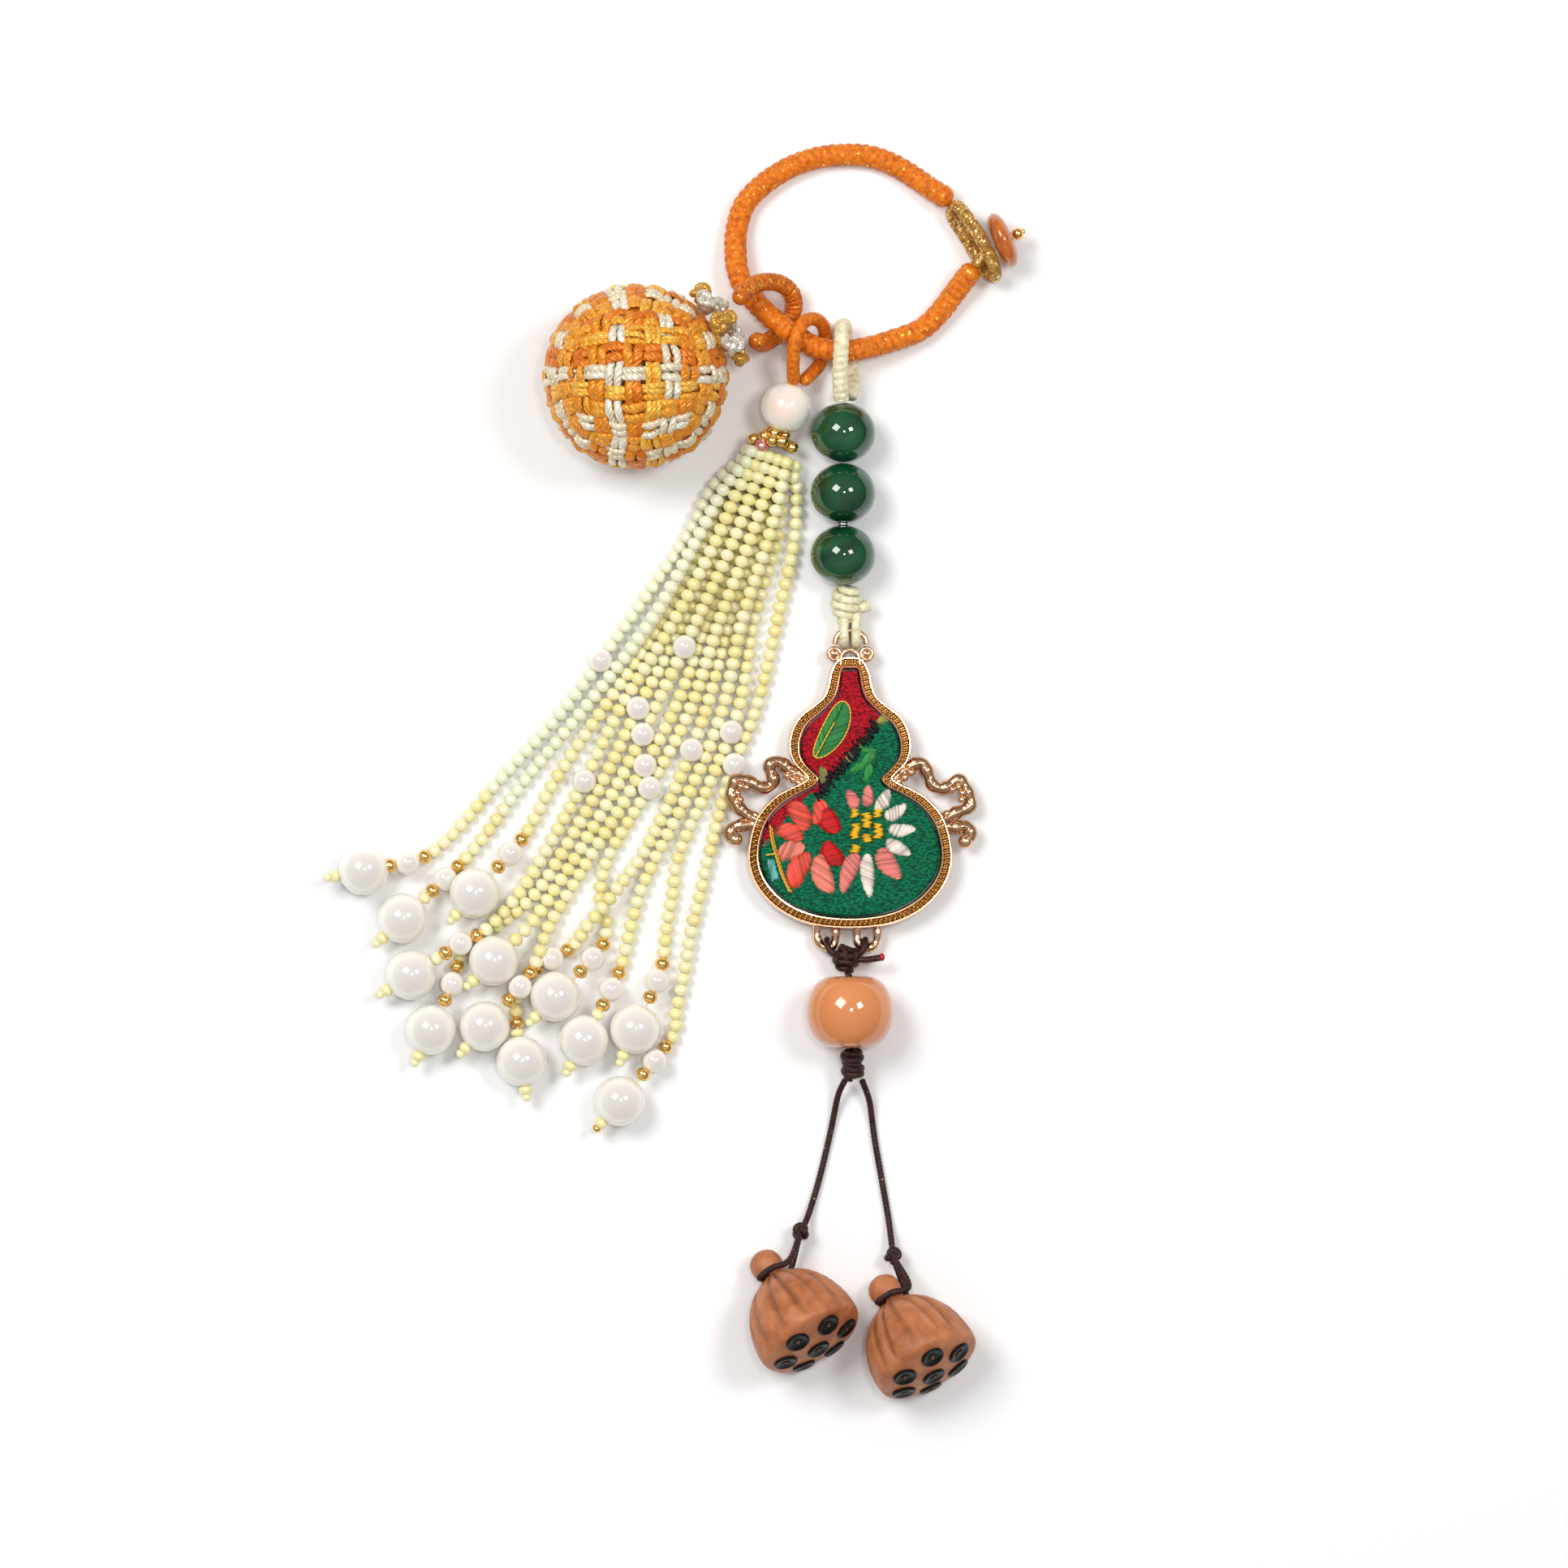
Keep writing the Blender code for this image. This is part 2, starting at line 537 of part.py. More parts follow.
def make_gourd(gold, red, green):
    # part of the way across the rim, height
    section = ((0.0, 0.4), (0.0, FRAME_TOP), (0.35, FRAME_TOP), (0.45, 4.9), (0.75, 4.9),
               (1.0, FRAME_TOP - 0.3), (1.0, 0.4), (0.85, 0.0), (0.15, 0.0))
    bm = bmesh.new()
    loops = [[bm.verts.new(p) for p in rim_loop(*row)] for row in section]
    for one, two in zip(loops, loops[1:] + loops[:1]):
        for k in range(len(one)):
            bm.faces.new((one[k], one[(k + 1) % len(one)], two[(k + 1) % len(one)], two[k]))
    frame = mesh_object("gourd_frame", bm, gold)

    ribbon_z = 3.7
    ribbons = {
        "left_ribbon": ((28.0, -2.3), (26.0, -1.2), (23.7, -0.1), (21.1, 1.7), (19.4, 0.6), (20.2, -2.3),
                        (18.2, -3.5), (15.3, -2.3), (12.9, -2.1), (11.9, -4.6), (13.1, -7.2), (15.3, -9.0),
                        (18.0, -10.4)),
        "left_curl": ((17.8, -10.8), (14.6, -10.9), (12.2, -11.5), (11.7, -13.2), (12.9, -13.9)),
        "right_ribbon": ((42.9, -2.4), (44.6, -1.4), (46.8, 0.4), (49.6, 1.4), (50.8, -0.6), (51.9, -3.0),
                         (54.2, -3.6), (56.9, -2.0), (58.4, -3.8), (59.3, -7.0), (56.5, -8.5), (53.0, -10.2)),
        "right_curl": ((53.2, -10.9), (56.2, -11.4), (58.5, -11.2), (59.3, -13.0), (58.1, -14.4)),
    }
    helpers = [
        helper_tube(name, [(x, y, ribbon_z) for x, y in route], 0.85, gold, 5, 2.4)
        for name, route in ribbons.items()
    ]
    helpers.append(helper_ball("eye_left", (32.3, 23.0, 3.1), 1.5, gold))
    helpers.append(helper_ball("eye_right", (38.7, 23.0, 3.1), 1.5, gold))
    lower_rings = {
        "lower_ring_left": ((29.0, -30.0), (28.8, -32.8), (29.4, -34.6), (30.9, -35.2), (32.3, -34.4),
                            (32.6, -30.4)),
        "lower_ring_right": ((37.0, -30.4), (36.9, -34.0), (38.4, -35.4), (40.2, -34.8), (40.9, -32.8),
                             (40.7, -29.8)),
    }
    for name, route in lower_rings.items():
        helpers.append(helper_tube(name, [(x, y, 2.75) for x, y in route], 0.5, gold, 5, 1.7))
    join(frame, helpers)

    bail = ((32.4, 24.95, 3.1), (32.8, 26.4, 3.1), (33.9, 27.4, 3.1), (35.5, 27.7, 3.1), (37.1, 27.3, 3.1),
            (38.3, 26.3, 3.1), (38.7, 24.95, 3.1))
    bm = bmesh.new()
    centres = smooth_route(bail, 1.5)
    sweep(bm, centres, [(0.6, 0.6)] * len(centres), 6)
    mesh_object("gourd_bail", bm, gold)

    make_cloth("gourd_cloth_front", FRAME_TOP - 0.9 - CLOTH_THICK, 0.7, 1, red)
    make_cloth("gourd_cloth_back", 0.6, 0.4, -1, green)


def make_cloth(name, lowest, dome, way, finish):
    """A padded face of embroidered cloth, thickest in the middle of each bulb."""
    ts = (-1.0, -0.5, 0.0, 0.5, 1.0)
    rows = []
    for inner_x, inner_y, outer_x, outer_y in RIM[1:]:
        reach = math.hypot(outer_x - inner_x, outer_y - inner_y)
        x = max(0.0, inner_x - CLOTH_CLEAR * (outer_x - inner_x) / reach)
        y = inner_y - CLOTH_CLEAR * (outer_y - inner_y) / reach
        rows.append((x, y))
    bm = bmesh.new()
    sheets = []
    for top in (0, 1):
        sheet = []
        for x, y in rows:
            swell = dome * min(1.0, x / 8.0)
            line = []
            for t in ts if x else (0.0,):
                bulge = way * swell * (1 - t * t)
                line.append(bm.verts.new((GOURD_X + t * x, y, lowest + top * CLOTH_THICK + bulge)))
            sheet.append(line)
        sheets.append(sheet)
    for sheet in sheets:
        for one, two in zip(sheet, sheet[1:]):
            for k in range(len(ts) - 1):
                corners = (one[k], one[k + 1], two[min(k + 1, len(two) - 1)], two[min(k, len(two) - 1)])
                bm.faces.new(list(dict.fromkeys(corners)))
    low, high = sheets
    for k in range(len(ts) - 1):
        bm.faces.new((low[0][k], low[0][k + 1], high[0][k + 1], high[0][k]))
    for end in (0, -1):
        for i in range(len(rows) - 2):
            bm.faces.new((low[i][end], low[i + 1][end], high[i + 1][end], high[i][end]))
        bm.faces.new((low[-2][end], low[-1][0], high[-1][0], high[-2][end]))
    mesh_object(name, bm, finish)


def make_beads(stone, amber):
    for number, (x, y) in enumerate(GREEN_BEADS, 1):
        bm = bmesh.new()
        turn(bm, ball_profile(GREEN_BEAD_R, GREEN_BEAD_HALF_LENGTH, 8), (x, y, GREEN_BEAD_R), (0, 1, 0), 16)
        mesh_object(f"green_bead_{number}", bm, stone)
    rows = ((-1.0, 0.46), (-0.92, 0.66), (-0.62, 0.87), (-0.25, 0.985), (0.25, 0.985), (0.62, 0.87),
            (0.92, 0.66), (1.0, 0.46))
    profile = [(along * BARREL_HALF_LENGTH, r * BARREL_R) for along, r in rows]
    bm = bmesh.new()
    turn(bm, profile, BARREL_CENTRE, (0, 1, 0), 18)
    mesh_object("barrel_bead", bm, amber)


def make_knots(cream, brown):
    """The tied knots: rounded lumps with the tails and bights that come out of them."""
    bm = bmesh.new()
    lump = ((-3.0, 1.6), (-2.2, 3.0), (-0.4, 3.5), (0.9, 3.1), (2.2, 2.2), (4.2, 1.1))
    turn(bm, lump, (34.7, 32.2, 3.7), (0.1, 1, 0), 10)
    knot = mesh_object("cream_knot", bm, cream)
    bights = []
    for name, x in (("cream_bight_left", 34.2), ("cream_bight_right", 36.6)):
        route = ((x + 0.2, 31.0, 4.6), (x, 28.6, 5.2), (x, 26.2, 5.0), (x, 24.9, 3.1), (x, 26.2, 1.15),
                 (x, 28.6, 1.1), (x + 0.2, 31.0, 2.2))
        bights.append(helper_tube(name, route, 0.9, cream, 6, 1.6))
    tail = ((35.5, 31.5, 3.9), (37.6, 32.2, 4.0), (39.2, 32.6, 3.8))
    bights.append(helper_tube("cream_tail", tail, 1.1, cream, 6, 1.6))
    join(knot, bights)

    bm = bmesh.new()
    turn(bm, ((-2.7, 1.5), (-1.6, 2.8), (0.2, 3.0), (1.4, 2.2), (2.3, 1.2)), (34.6, -37.2, 4.2), (0, 1, 0), 9)
    knot = mesh_object("brown_knot_top", bm, brown)
    bights = []
    for name, x, turn_in in (("brown_bight_left", 30.9, 1), ("brown_bight_right", 38.4, -1)):
        route = ((34.6, -37.6, 4.4), (x + 0.9 * turn_in, -36.2, 4.7), (x, -34.6, 4.25), (x, -33.7, 2.8),
                 (x, -34.6, 1.35), (x + 0.9 * turn_in, -36.4, 1.6), (34.6, -37.8, 3.4))
        bights.append(helper_tube(name, route, 0.6, brown, 5, 1.3))
    tail = ((35.5, -37.4, 5.0), (38.5, -37.6, 5.4), (41.6, -37.2, 5.2))
    bights.append(helper_tube("brown_tail", tail, 0.65, brown, 5, 1.5))
    join(knot, bights)

    bm = bmesh.new()
    lobes = ((2.9, 1.2), (2.3, 2.1), (1.1, 2.2), (0.3, 1.8), (-0.6, 2.4), (-1.9, 2.5), (-3.0, 1.5))
    turn(bm, lobes[::-1], (35.9, -58.2, 5.6), (0, 1, 0.25), 9)
    mesh_object("brown_knot_low", bm, brown)


def pod_axis(plan):
    flat = Vector((*plan, 0)).normalized()
    return flat * math.cos(POD_LEAN) + Vector((0, 0, math.sin(POD_LEAN)))


def pod_height():
    """Height of the neck ball's centre that sets the pod's lowest point on the table."""
    return max(r * math.cos(POD_LEAN) - along * math.sin(POD_LEAN) for along, r, groove in POD_PROFILE)


def make_pods(wood, brown):
    for name, neck, plan, knot_at in PODS:
        axis = pod_axis(plan)
        centre = Vector((*neck, pod_height()))
        bm = bmesh.new()
        turn(bm, POD_PROFILE, centre, axis, 24, POD_RIDGES)
        pod = mesh_object("pod_" + name, bm, wood)
        side = axis.cross(Vector((0, 0, 1))).normalized()
        up = side.cross(axis)
        eye = centre + axis * 2.7
        bore_way = up * 0.8 + side * 0.6
        bm = bmesh.new()
        turn(bm, ((-9, POD_BORE_R), (9, POD_BORE_R)), eye, bore_way, 8)
        join(pod, [mesh_object("bore_" + name, bm, wood, helper=True)], "DIFFERENCE")

        knot_centre = Vector((*knot_at, 3.6))
        bm = bmesh.new()
        turn(bm, ball_profile(1.9, 1.7, 6), knot_centre, (*plan, 0), 8)
        knot = mesh_object("pod_tie_" + name, bm, brown)
        route = tie_route(knot_centre, eye, side, up)
        join(knot, [helper_tube("tie_bight_" + name, route, POD_CORD_D / 2 - 0.05, brown, 5, 1.4)])


def tie_route(knot_centre, eye, side, up):
    """The tie's bight: from the knot over the pod's neck, through the bore and back to the knot."""
    return (
        knot_centre + Vector((0, 0, 0.7)),
        eye - side * 4.6 + up * 2.8,
        eye - side * 0.9 + up * 4.1,
        eye + side * 2.3 + up * 3.5,
        eye + side * 1.2 + up * 1.6,
        eye - side * 1.2 - up * 1.6,
        eye - side * 2.8 - up * 3.2,
        knot_centre - Vector((0, 0, 0.7)),
    )


clear_scene()
CHARM = bpy.data.objects.new("charm_origin", None)
CHARM.location = (0, PLAN_SHIFT_Y * MM, 0)
bpy.context.scene.collection.objects.link(CHARM)

ORANGE_SILK = material("orange_silk", (0.78, 0.27, 0.03), 0.45)
GOLD_THREAD = material("gold_thread", (0.55, 0.33, 0.05), 0.4)
WOVEN_SILK = material("woven_silk", (0.85, 0.42, 0.07), 0.45)
KNOT_SILK = material("knot_silk", (0.72, 0.52, 0.22), 0.4)
CREAM_CORD = material("cream_cord", (0.86, 0.78, 0.5), 0.55)
BROWN_CORD = material("brown_cord", (0.06, 0.02, 0.015), 0.5)
SEED_BEADS = material("seed_beads", (0.93, 0.86, 0.5), 0.2)
PEARL = material("pearl", (0.9, 0.85, 0.76), 0.15)
RUST_STONE = material("rust_stone", (0.55, 0.14, 0.02), 0.15)
GREEN_STONE = material("green_stone", (0.01, 0.12, 0.04), 0.08)
AMBER_STONE = material("amber_stone", (0.7, 0.24, 0.03), 0.1)
ROSE_GOLD = material("rose_gold", (0.85, 0.5, 0.3), 0.2, 1.0)
RED_CLOTH = material("red_cloth", (0.5, 0.02, 0.04), 0.7)
GREEN_CLOTH = material("green_cloth", (0.02, 0.25, 0.13), 0.7)
POD_WOOD = material("pod_wood", (0.45, 0.18, 0.08), 0.5)

cord("wrist_cord", WRIST_ROUTE, WRIST_CORD_D, ORANGE_SILK, 3)
make_closure(GOLD_THREAD, RUST_STONE)
make_ball(WOVEN_SILK)
knot_ring("ball_knots_outer", 19.5, 7.3, 2.3, 8, KNOT_SILK)
knot_ring("ball_knots_inner", 21.3, 3.1, 2.0, 4, KNOT_SILK)
cord("ball_loop", BALL_LOOP_ROUTE, BALL_LOOP_D, ORANGE_SILK)
cord("tassel_loop", TASSEL_LOOP_ROUTE, TASSEL_LOOP_D, ORANGE_SILK)
make_tassel(SEED_BEADS, PEARL)
cord("cream_loop", CREAM_LOOP_ROUTE, CREAM_LOOP_D, CREAM_CORD)
make_beads(GREEN_STONE, AMBER_STONE)
make_knots(CREAM_CORD, BROWN_CORD)
make_gourd(ROSE_GOLD, RED_CLOTH, GREEN_CLOTH)
cord("pod_cord_left", POD_CORD_LEFT, POD_CORD_D, BROWN_CORD)
cord("pod_cord_right", POD_CORD_RIGHT, POD_CORD_D, BROWN_CORD)
make_pods(POD_WOOD, BROWN_CORD)
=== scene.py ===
"""Embroidered tassel charm, dressed for the camera. It follows the charm as it is put together: the
carry cord and the other cords first, then the woven ball, the tassel, the green beads, the gourd
and the pods. Plan sizes are in millimetres, x to the right, y towards the carry cord, z up."""

import math
import random

import bmesh
import bpy
from mathutils import Matrix, Vector


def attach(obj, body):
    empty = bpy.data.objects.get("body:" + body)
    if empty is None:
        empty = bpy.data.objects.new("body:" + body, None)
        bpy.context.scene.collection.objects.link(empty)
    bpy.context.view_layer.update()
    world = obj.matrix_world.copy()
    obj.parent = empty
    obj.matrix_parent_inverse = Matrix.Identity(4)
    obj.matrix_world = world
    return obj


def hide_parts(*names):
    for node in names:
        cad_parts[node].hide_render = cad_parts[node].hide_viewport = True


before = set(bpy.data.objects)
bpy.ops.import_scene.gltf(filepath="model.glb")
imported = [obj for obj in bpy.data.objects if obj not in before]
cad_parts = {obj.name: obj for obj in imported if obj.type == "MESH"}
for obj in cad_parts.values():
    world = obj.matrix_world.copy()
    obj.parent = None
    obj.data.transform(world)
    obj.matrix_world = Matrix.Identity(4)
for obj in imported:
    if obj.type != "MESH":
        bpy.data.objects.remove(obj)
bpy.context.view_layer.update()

# Camera, table and light. The charm lies on a white table under soft light from above, seen
# straight down through a long lens.

MM = 0.001
PLAN_SHIFT = Vector((0.0, 5.85, 0.0))
VIEW_WIDTH = 0.3116
LENS_MM = 200.0
SENSOR_MM = 36.0

camera_data = bpy.data.cameras.new("camera")
camera_data.lens = LENS_MM
camera_data.sensor_width = SENSOR_MM
camera_data.clip_end = 10.0
camera = bpy.data.objects.new("camera", camera_data)
camera.location = (0.0223, 0.00305, VIEW_WIDTH * LENS_MM / SENSOR_MM)
bpy.context.scene.collection.objects.link(camera)
bpy.context.scene.camera = camera
bpy.context.scene.view_settings.view_transform = "Standard"

world = bpy.data.worlds.new("studio")
world.use_nodes = True
world.node_tree.nodes["Background"].inputs["Strength"].default_value = 0.42
height = world.node_tree.nodes.new("ShaderNodeSeparateXYZ")
sky_place = world.node_tree.nodes.new("ShaderNodeTexCoord")
sky = world.node_tree.nodes.new("ShaderNodeValToRGB")
sky.color_ramp.elements[0].color = (0.3, 0.3, 0.3, 1.0)
sky.color_ramp.elements[1].position = 0.75
world.node_tree.links.new(sky_place.outputs["Generated"], height.inputs["Vector"])
world.node_tree.links.new(height.outputs["Z"], sky.inputs["Fac"])
world.node_tree.links.new(sky.outputs["Color"], world.node_tree.nodes["Background"].inputs["Color"])
bpy.context.scene.world = world


def soft_light(name, place, size, energy):
    """A square light that faces the middle of the charm."""
    data = bpy.data.lights.new(name, "AREA")
    data.size = size
    data.energy = energy
    light = bpy.data.objects.new(name, data)
    light.location = place
    light.rotation_euler = (Vector((0.02, 0.0, 0.0)) - Vector(place)).to_track_quat("-Z", "Y").to_euler()
    bpy.context.scene.collection.objects.link(light)


soft_light("window_light", (-0.5, 0.45, 1.1), 0.5, 9.0)
soft_light("fill_light", (0.6, 0.3, 1.1), 0.3, 4.5)
soft_light("overhead_light", (0.14, 0.1, 1.5), 0.12, 3.0)


def plain_material(name, colour, roughness, **sockets):
    """A shader with its constants on its own sockets, named in lower case with _ for a space."""
    made = bpy.data.materials.new(name)
    made.use_nodes = True
    shader = made.node_tree.nodes["Principled BSDF"]
    shader.inputs["Base Color"].default_value = (*colour, 1.0)
    shader.inputs["Roughness"].default_value = roughness
    for key, value in sockets.items():
        shader.inputs[key.replace("_", " ").title().replace("Ior", "IOR")].default_value = value
    return made


table_bm = bmesh.new()
bmesh.ops.create_grid(table_bm, x_segments=1, y_segments=1, size=3.0)
bmesh.ops.translate(table_bm, verts=table_bm.verts, vec=(0, 0, -0.00002))
table_mesh = bpy.data.meshes.new("table")
table_bm.to_mesh(table_mesh)
table_mesh.materials.append(plain_material("white_paper", (0.93, 0.93, 0.93), 0.9))
table = bpy.data.objects.new("table", table_mesh)
bpy.context.scene.collection.objects.link(table)


# Carry cord: a round silk cord in bright orange, wrapped smooth on its outer side and braided in a
# herringbone with gold thread on its inner side. It makes an open loop that the button closes.


def smooth_line(points, step, closed=False):
    """Points a step apart on a smooth curve through plan points, in millimetres of the row frame."""
    points = [Vector(p) + PLAN_SHIFT for p in points]
    count = len(points)
    dense = []
    for i in range(count if closed else count - 1):
        if closed:
            a, b, c, d = (points[(i + k) % count] for k in (-1, 0, 1, 2))
        else:
            b, c = points[i], points[i + 1]
            a = points[i - 1] if i else b * 2 - c
            d = points[i + 2] if i + 2 < count else c * 2 - b
        for k in range(12):
            t = k / 12
            dense.append(b + 0.5 * t * ((c - a) + t * (2 * a - 5 * b + 4 * c - d + t * (3 * b - a - 3 * c + d))))
    dense.append(points[0].copy() if closed else points[-1].copy())
    lengths = [0.0]
    for p, q in zip(dense, dense[1:]):
        lengths.append(lengths[-1] + (q - p).length)
    steps = max(2, round(lengths[-1] / step))
    found = []
    k = 0
    for i in range(steps + 1):
        wanted = lengths[-1] * i / steps
        while k < len(lengths) - 2 and lengths[k + 1] < wanted:
            k += 1
        part = (wanted - lengths[k]) / max(1e-9, lengths[k + 1] - lengths[k])
        found.append(dense[k].lerp(dense[k + 1], part))
    return found[:-1] if closed else found


def frames_along(line, closed=False, first_up=(0, 0, 1)):
    """At each point of a line: the distance along it, a side and an up direction that don't twist."""
    count = len(line)
    found = []
    along = 0.0
    up = Vector(first_up)
    for i, at in enumerate(line):
        before = line[i - 1] if i or closed else at
        after = line[(i + 1) % count] if i < count - 1 or closed else at
        way = (after - before).normalized()
        up = (up - way * up.dot(way)).normalized()
        found.append((along, way.cross(up), up, way))
        along += (after - at).length
    return found


def roll(bm, across, along, place):
    """A grid rolled into a skin: place(i, j) is the point at column i of across and row j of along."""
    uv = bm.loops.layers.uv.verify()
    made = bmesh.ops.create_grid(bm, x_segments=across, y_segments=along, size=1.0)
    cells = {}
    for vert in made["verts"]:
        cells[vert] = (round((vert.co.x + 1) / 2 * across), round((vert.co.y + 1) / 2 * along))
    for face in {face for vert in made["verts"] for face in vert.link_faces}:
        for loop in face.loops:
            i, j = cells[loop.vert]
            loop[uv].uv = (i / across, j / across)
    for vert, (i, j) in cells.items():
        vert.co = place(i, j)
    return made["verts"]


def paint(bm, verts, tint):
    """Writes a colour on a piece's mesh, where it has one; on the gourd frame it is painted highlight and shade."""
    if tint:
        layer = bm.verts.layers.float_color.get("tint")
        for vert in verts:
            vert[layer] = (*tint, 1.0)


def graft(bm, part):
    """Adds a finished small mesh to a larger one."""
    mesh = bpy.data.meshes.new("graft")
    part.to_mesh(mesh)
    part.free()
    bm.from_mesh(mesh)
    bpy.data.meshes.remove(mesh)


def fresh(tint):
    """An empty mesh, with a colour layer where its piece is painted."""
    part = bmesh.new()
    if tint:
        part.verts.layers.float_color.new("tint")
    return part


def sleeve(bm, line, sides, radius_at, wide=1.0, high=1.0, closed=False, first_up=(0, 0, 1), ups=None, tint=None):
    """A cord's skin round a line, with the radius given at each distance along it and angle."""
    frames = frames_along(line, closed, first_up)
    last_up = frames[-1][2]
    turn_back = math.atan2(last_up.dot(frames[0][1]), last_up.dot(frames[0][2])) if closed and not ups else 0.0
    count = len(line)

    def place(i, j):
        along, side, up, way = frames[j % count]
        if ups:
            up = ups[j % count]
            side = way.cross(up)
        angle = math.tau * i / sides + turn_back * (j % count) / count
        r = radius_at(along, angle)
        return line[j % count] + side * (wide * r * math.cos(angle)) + up * (high * r * math.sin(angle))

    part = fresh(tint)
    paint(part, roll(part, sides, count if closed else count - 1, place), tint)
    bmesh.ops.remove_doubles(part, verts=part.verts, dist=1e-4)
    if not closed:
        bmesh.ops.holes_fill(part, edges=[edge for edge in part.edges if edge.is_boundary], sides=0)
    graft(bm, part)


def show(name, bm, material, nodes=(), sharp=None):
    """Turns a mesh in millimetres into a piece of the charm, at the origin, riding on it."""
    bmesh.ops.recalc_face_normals(bm, faces=bm.faces)
    bmesh.ops.scale(bm, verts=bm.verts, vec=(MM, MM, MM))
    mesh = bpy.data.meshes.new(name)
    bm.to_mesh(mesh)
    bm.free()
    mesh.shade_smooth()
    if sharp:
        mesh.set_sharp_from_angle(angle=math.radians(sharp))
    mesh.materials.append(material)
    piece = bpy.data.objects.new(name, mesh)
    bpy.context.scene.collection.objects.link(piece)
    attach(piece, "root")
    if nodes:
        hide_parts(*nodes)
    return piece


def add(made, kind, **values):
    """A node with its values set: keys are property names, or socket names in lower case."""
    node = made.node_tree.nodes.new(kind)
    for key, value in values.items():
        if hasattr(node, key):
            setattr(node, key, value)
        else:
            node.inputs[key.replace("_", " ").title()].default_value = value
    return node


def ramp(made, source, stops):
    """A colour ramp fed by a socket. Each stop is a position and a colour."""
    node = made.node_tree.nodes.new("ShaderNodeValToRGB")
    made.node_tree.links.new(source, node.inputs["Fac"])
    elements = node.color_ramp.elements
    while len(elements) < len(stops):
        elements.new(0.5)
    for element, (position, colour) in zip(elements, stops):
        element.position = position
        element.color = (*colour, 1.0)
    return node.outputs["Color"]


def bump(made, height, strength, distance):
    """Feeds a height socket to the shader's normal. The distance is in metres."""
    node = made.node_tree.nodes.new("ShaderNodeBump")
    node.inputs["Strength"].default_value = strength
    node.inputs["Distance"].default_value = distance
    made.node_tree.links.new(height, node.inputs["Height"])
    made.node_tree.links.new(node.outputs["Normal"], made.node_tree.nodes["Principled BSDF"].inputs["Normal"])
    return node


def silk(name, dark, light, glint, roughness=0.42, glint_share=0.3, fibre=2600.0):
    """Silk cord: fine fibres, colour that shifts along them, and gold thread that glints in places."""
    made = plain_material(name, light, roughness, specular_ior_level=0.25)
    tree = made.node_tree
    shader = tree.nodes["Principled BSDF"]
    place = tree.nodes.new("ShaderNodeTexCoord").outputs["Object"]
    tone = add(made, "ShaderNodeTexNoise", scale=900.0, detail=3.0, roughness=0.6)
    specks = add(made, "ShaderNodeTexVoronoi", scale=fibre, randomness=1.0)
    fine = add(made, "ShaderNodeTexNoise", scale=fibre * 1.6, detail=2.0)
    for node in (tone, specks, fine):
        tree.links.new(place, node.inputs["Vector"])
    body = ramp(made, tone.outputs["Fac"], ((0.3, dark), (0.62, light)))
    mask = ramp(made, specks.outputs["Color"], ((1 - glint_share - 0.04, (0, 0, 0)), (1 - glint_share, (1, 1, 1))))
    mix = tree.nodes.new("ShaderNodeMix")
    mix.data_type = "RGBA"
    tree.links.new(mask, mix.inputs["Factor"])
    tree.links.new(body, mix.inputs["A"])
    mix.inputs["B"].default_value = (*glint, 1.0)
    tree.links.new(mix.outputs["Result"], shader.inputs["Base Color"])
    tree.links.new(mask, shader.inputs["Metallic"])
    bump(made, fine.outputs["Fac"], 0.5, 0.0002)
    return made


ORANGE_SILK = silk("orange_silk", (0.5, 0.09, 0.004), (0.85, 0.22, 0.008), (1.0, 0.55, 0.1), glint_share=0.14)


def total(line):
    return sum((q - p).length for p, q in zip(line, line[1:])) * MM


def metres(line):
    return [tuple(p * MM) for p in line]


WRIST_CORD_R = 2.25
WRIST_ROUTE = (
    (54.2, 113.5, 4.4), (51.6, 115.2, 3.2), (45.0, 119.6, 2.3), (39.7, 121.7, 2.3), (34.4, 122.1, 2.3),
    (28.5, 121.4, 2.3), (22.9, 119.3, 2.3), (18.0, 116.0, 2.3), (14.5, 112.2, 2.4), (12.9, 107.3, 2.9),
    (12.7, 102.8, 4.0), (13.1, 98.9, 5.2), (14.7, 95.0, 6.1), (18.2, 91.0, 6.6), (21.9, 87.8, 6.7),
    (25.0, 85.6, 6.5), (29.0, 83.6, 6.2), (33.9, 83.0, 6.1), (38.7, 83.6, 5.3), (44.0, 85.2, 3.7),
    (49.4, 87.3, 2.6), (52.9, 90.4, 2.4), (56.0, 94.4, 3.2), (58.0, 97.0, 4.2), (59.3, 98.7, 4.8),
)
WRAP_PITCH = 1.6
BRAID_PITCH = 2.4


def wrist_radius(along, angle):
    """Smooth wraps on the outer side, herringbone ribs on the inner side."""
    inner = 0.5 - 0.5 * math.cos(angle - WRIST_INNER)
    wrap = abs(math.sin(math.pi * (along / WRAP_PITCH + 0.25 * math.sin(angle))))
    off = abs((angle - WRIST_INNER + math.pi) % math.tau - math.pi)
    rib = abs(math.sin(math.pi * (along / BRAID_PITCH + 1.1 * off)))
    strand = abs(math.sin(3.0 * off))
    share = min(1.0, max(0.0, 1.4 - 2.8 * inner))
    return WRIST_CORD_R * (0.8 + 0.2 * ((1 - share) * wrap ** 0.5 + share * rib ** 0.6 * (0.75 + 0.25 * strand)))


WRIST_INNER = math.radians(200)
wrist_line = smooth_line(WRIST_ROUTE, 0.17)
wrist_bm = bmesh.new()
sleeve(wrist_bm, wrist_line, 28, wrist_radius)
wrist = show("carry_cord", wrist_bm, ORANGE_SILK, ["wrist_cord"])
wrist_path = smooth_line(WRIST_ROUTE, 4.5)
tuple(metres(wrist_path)[0])
total(wrist_line)


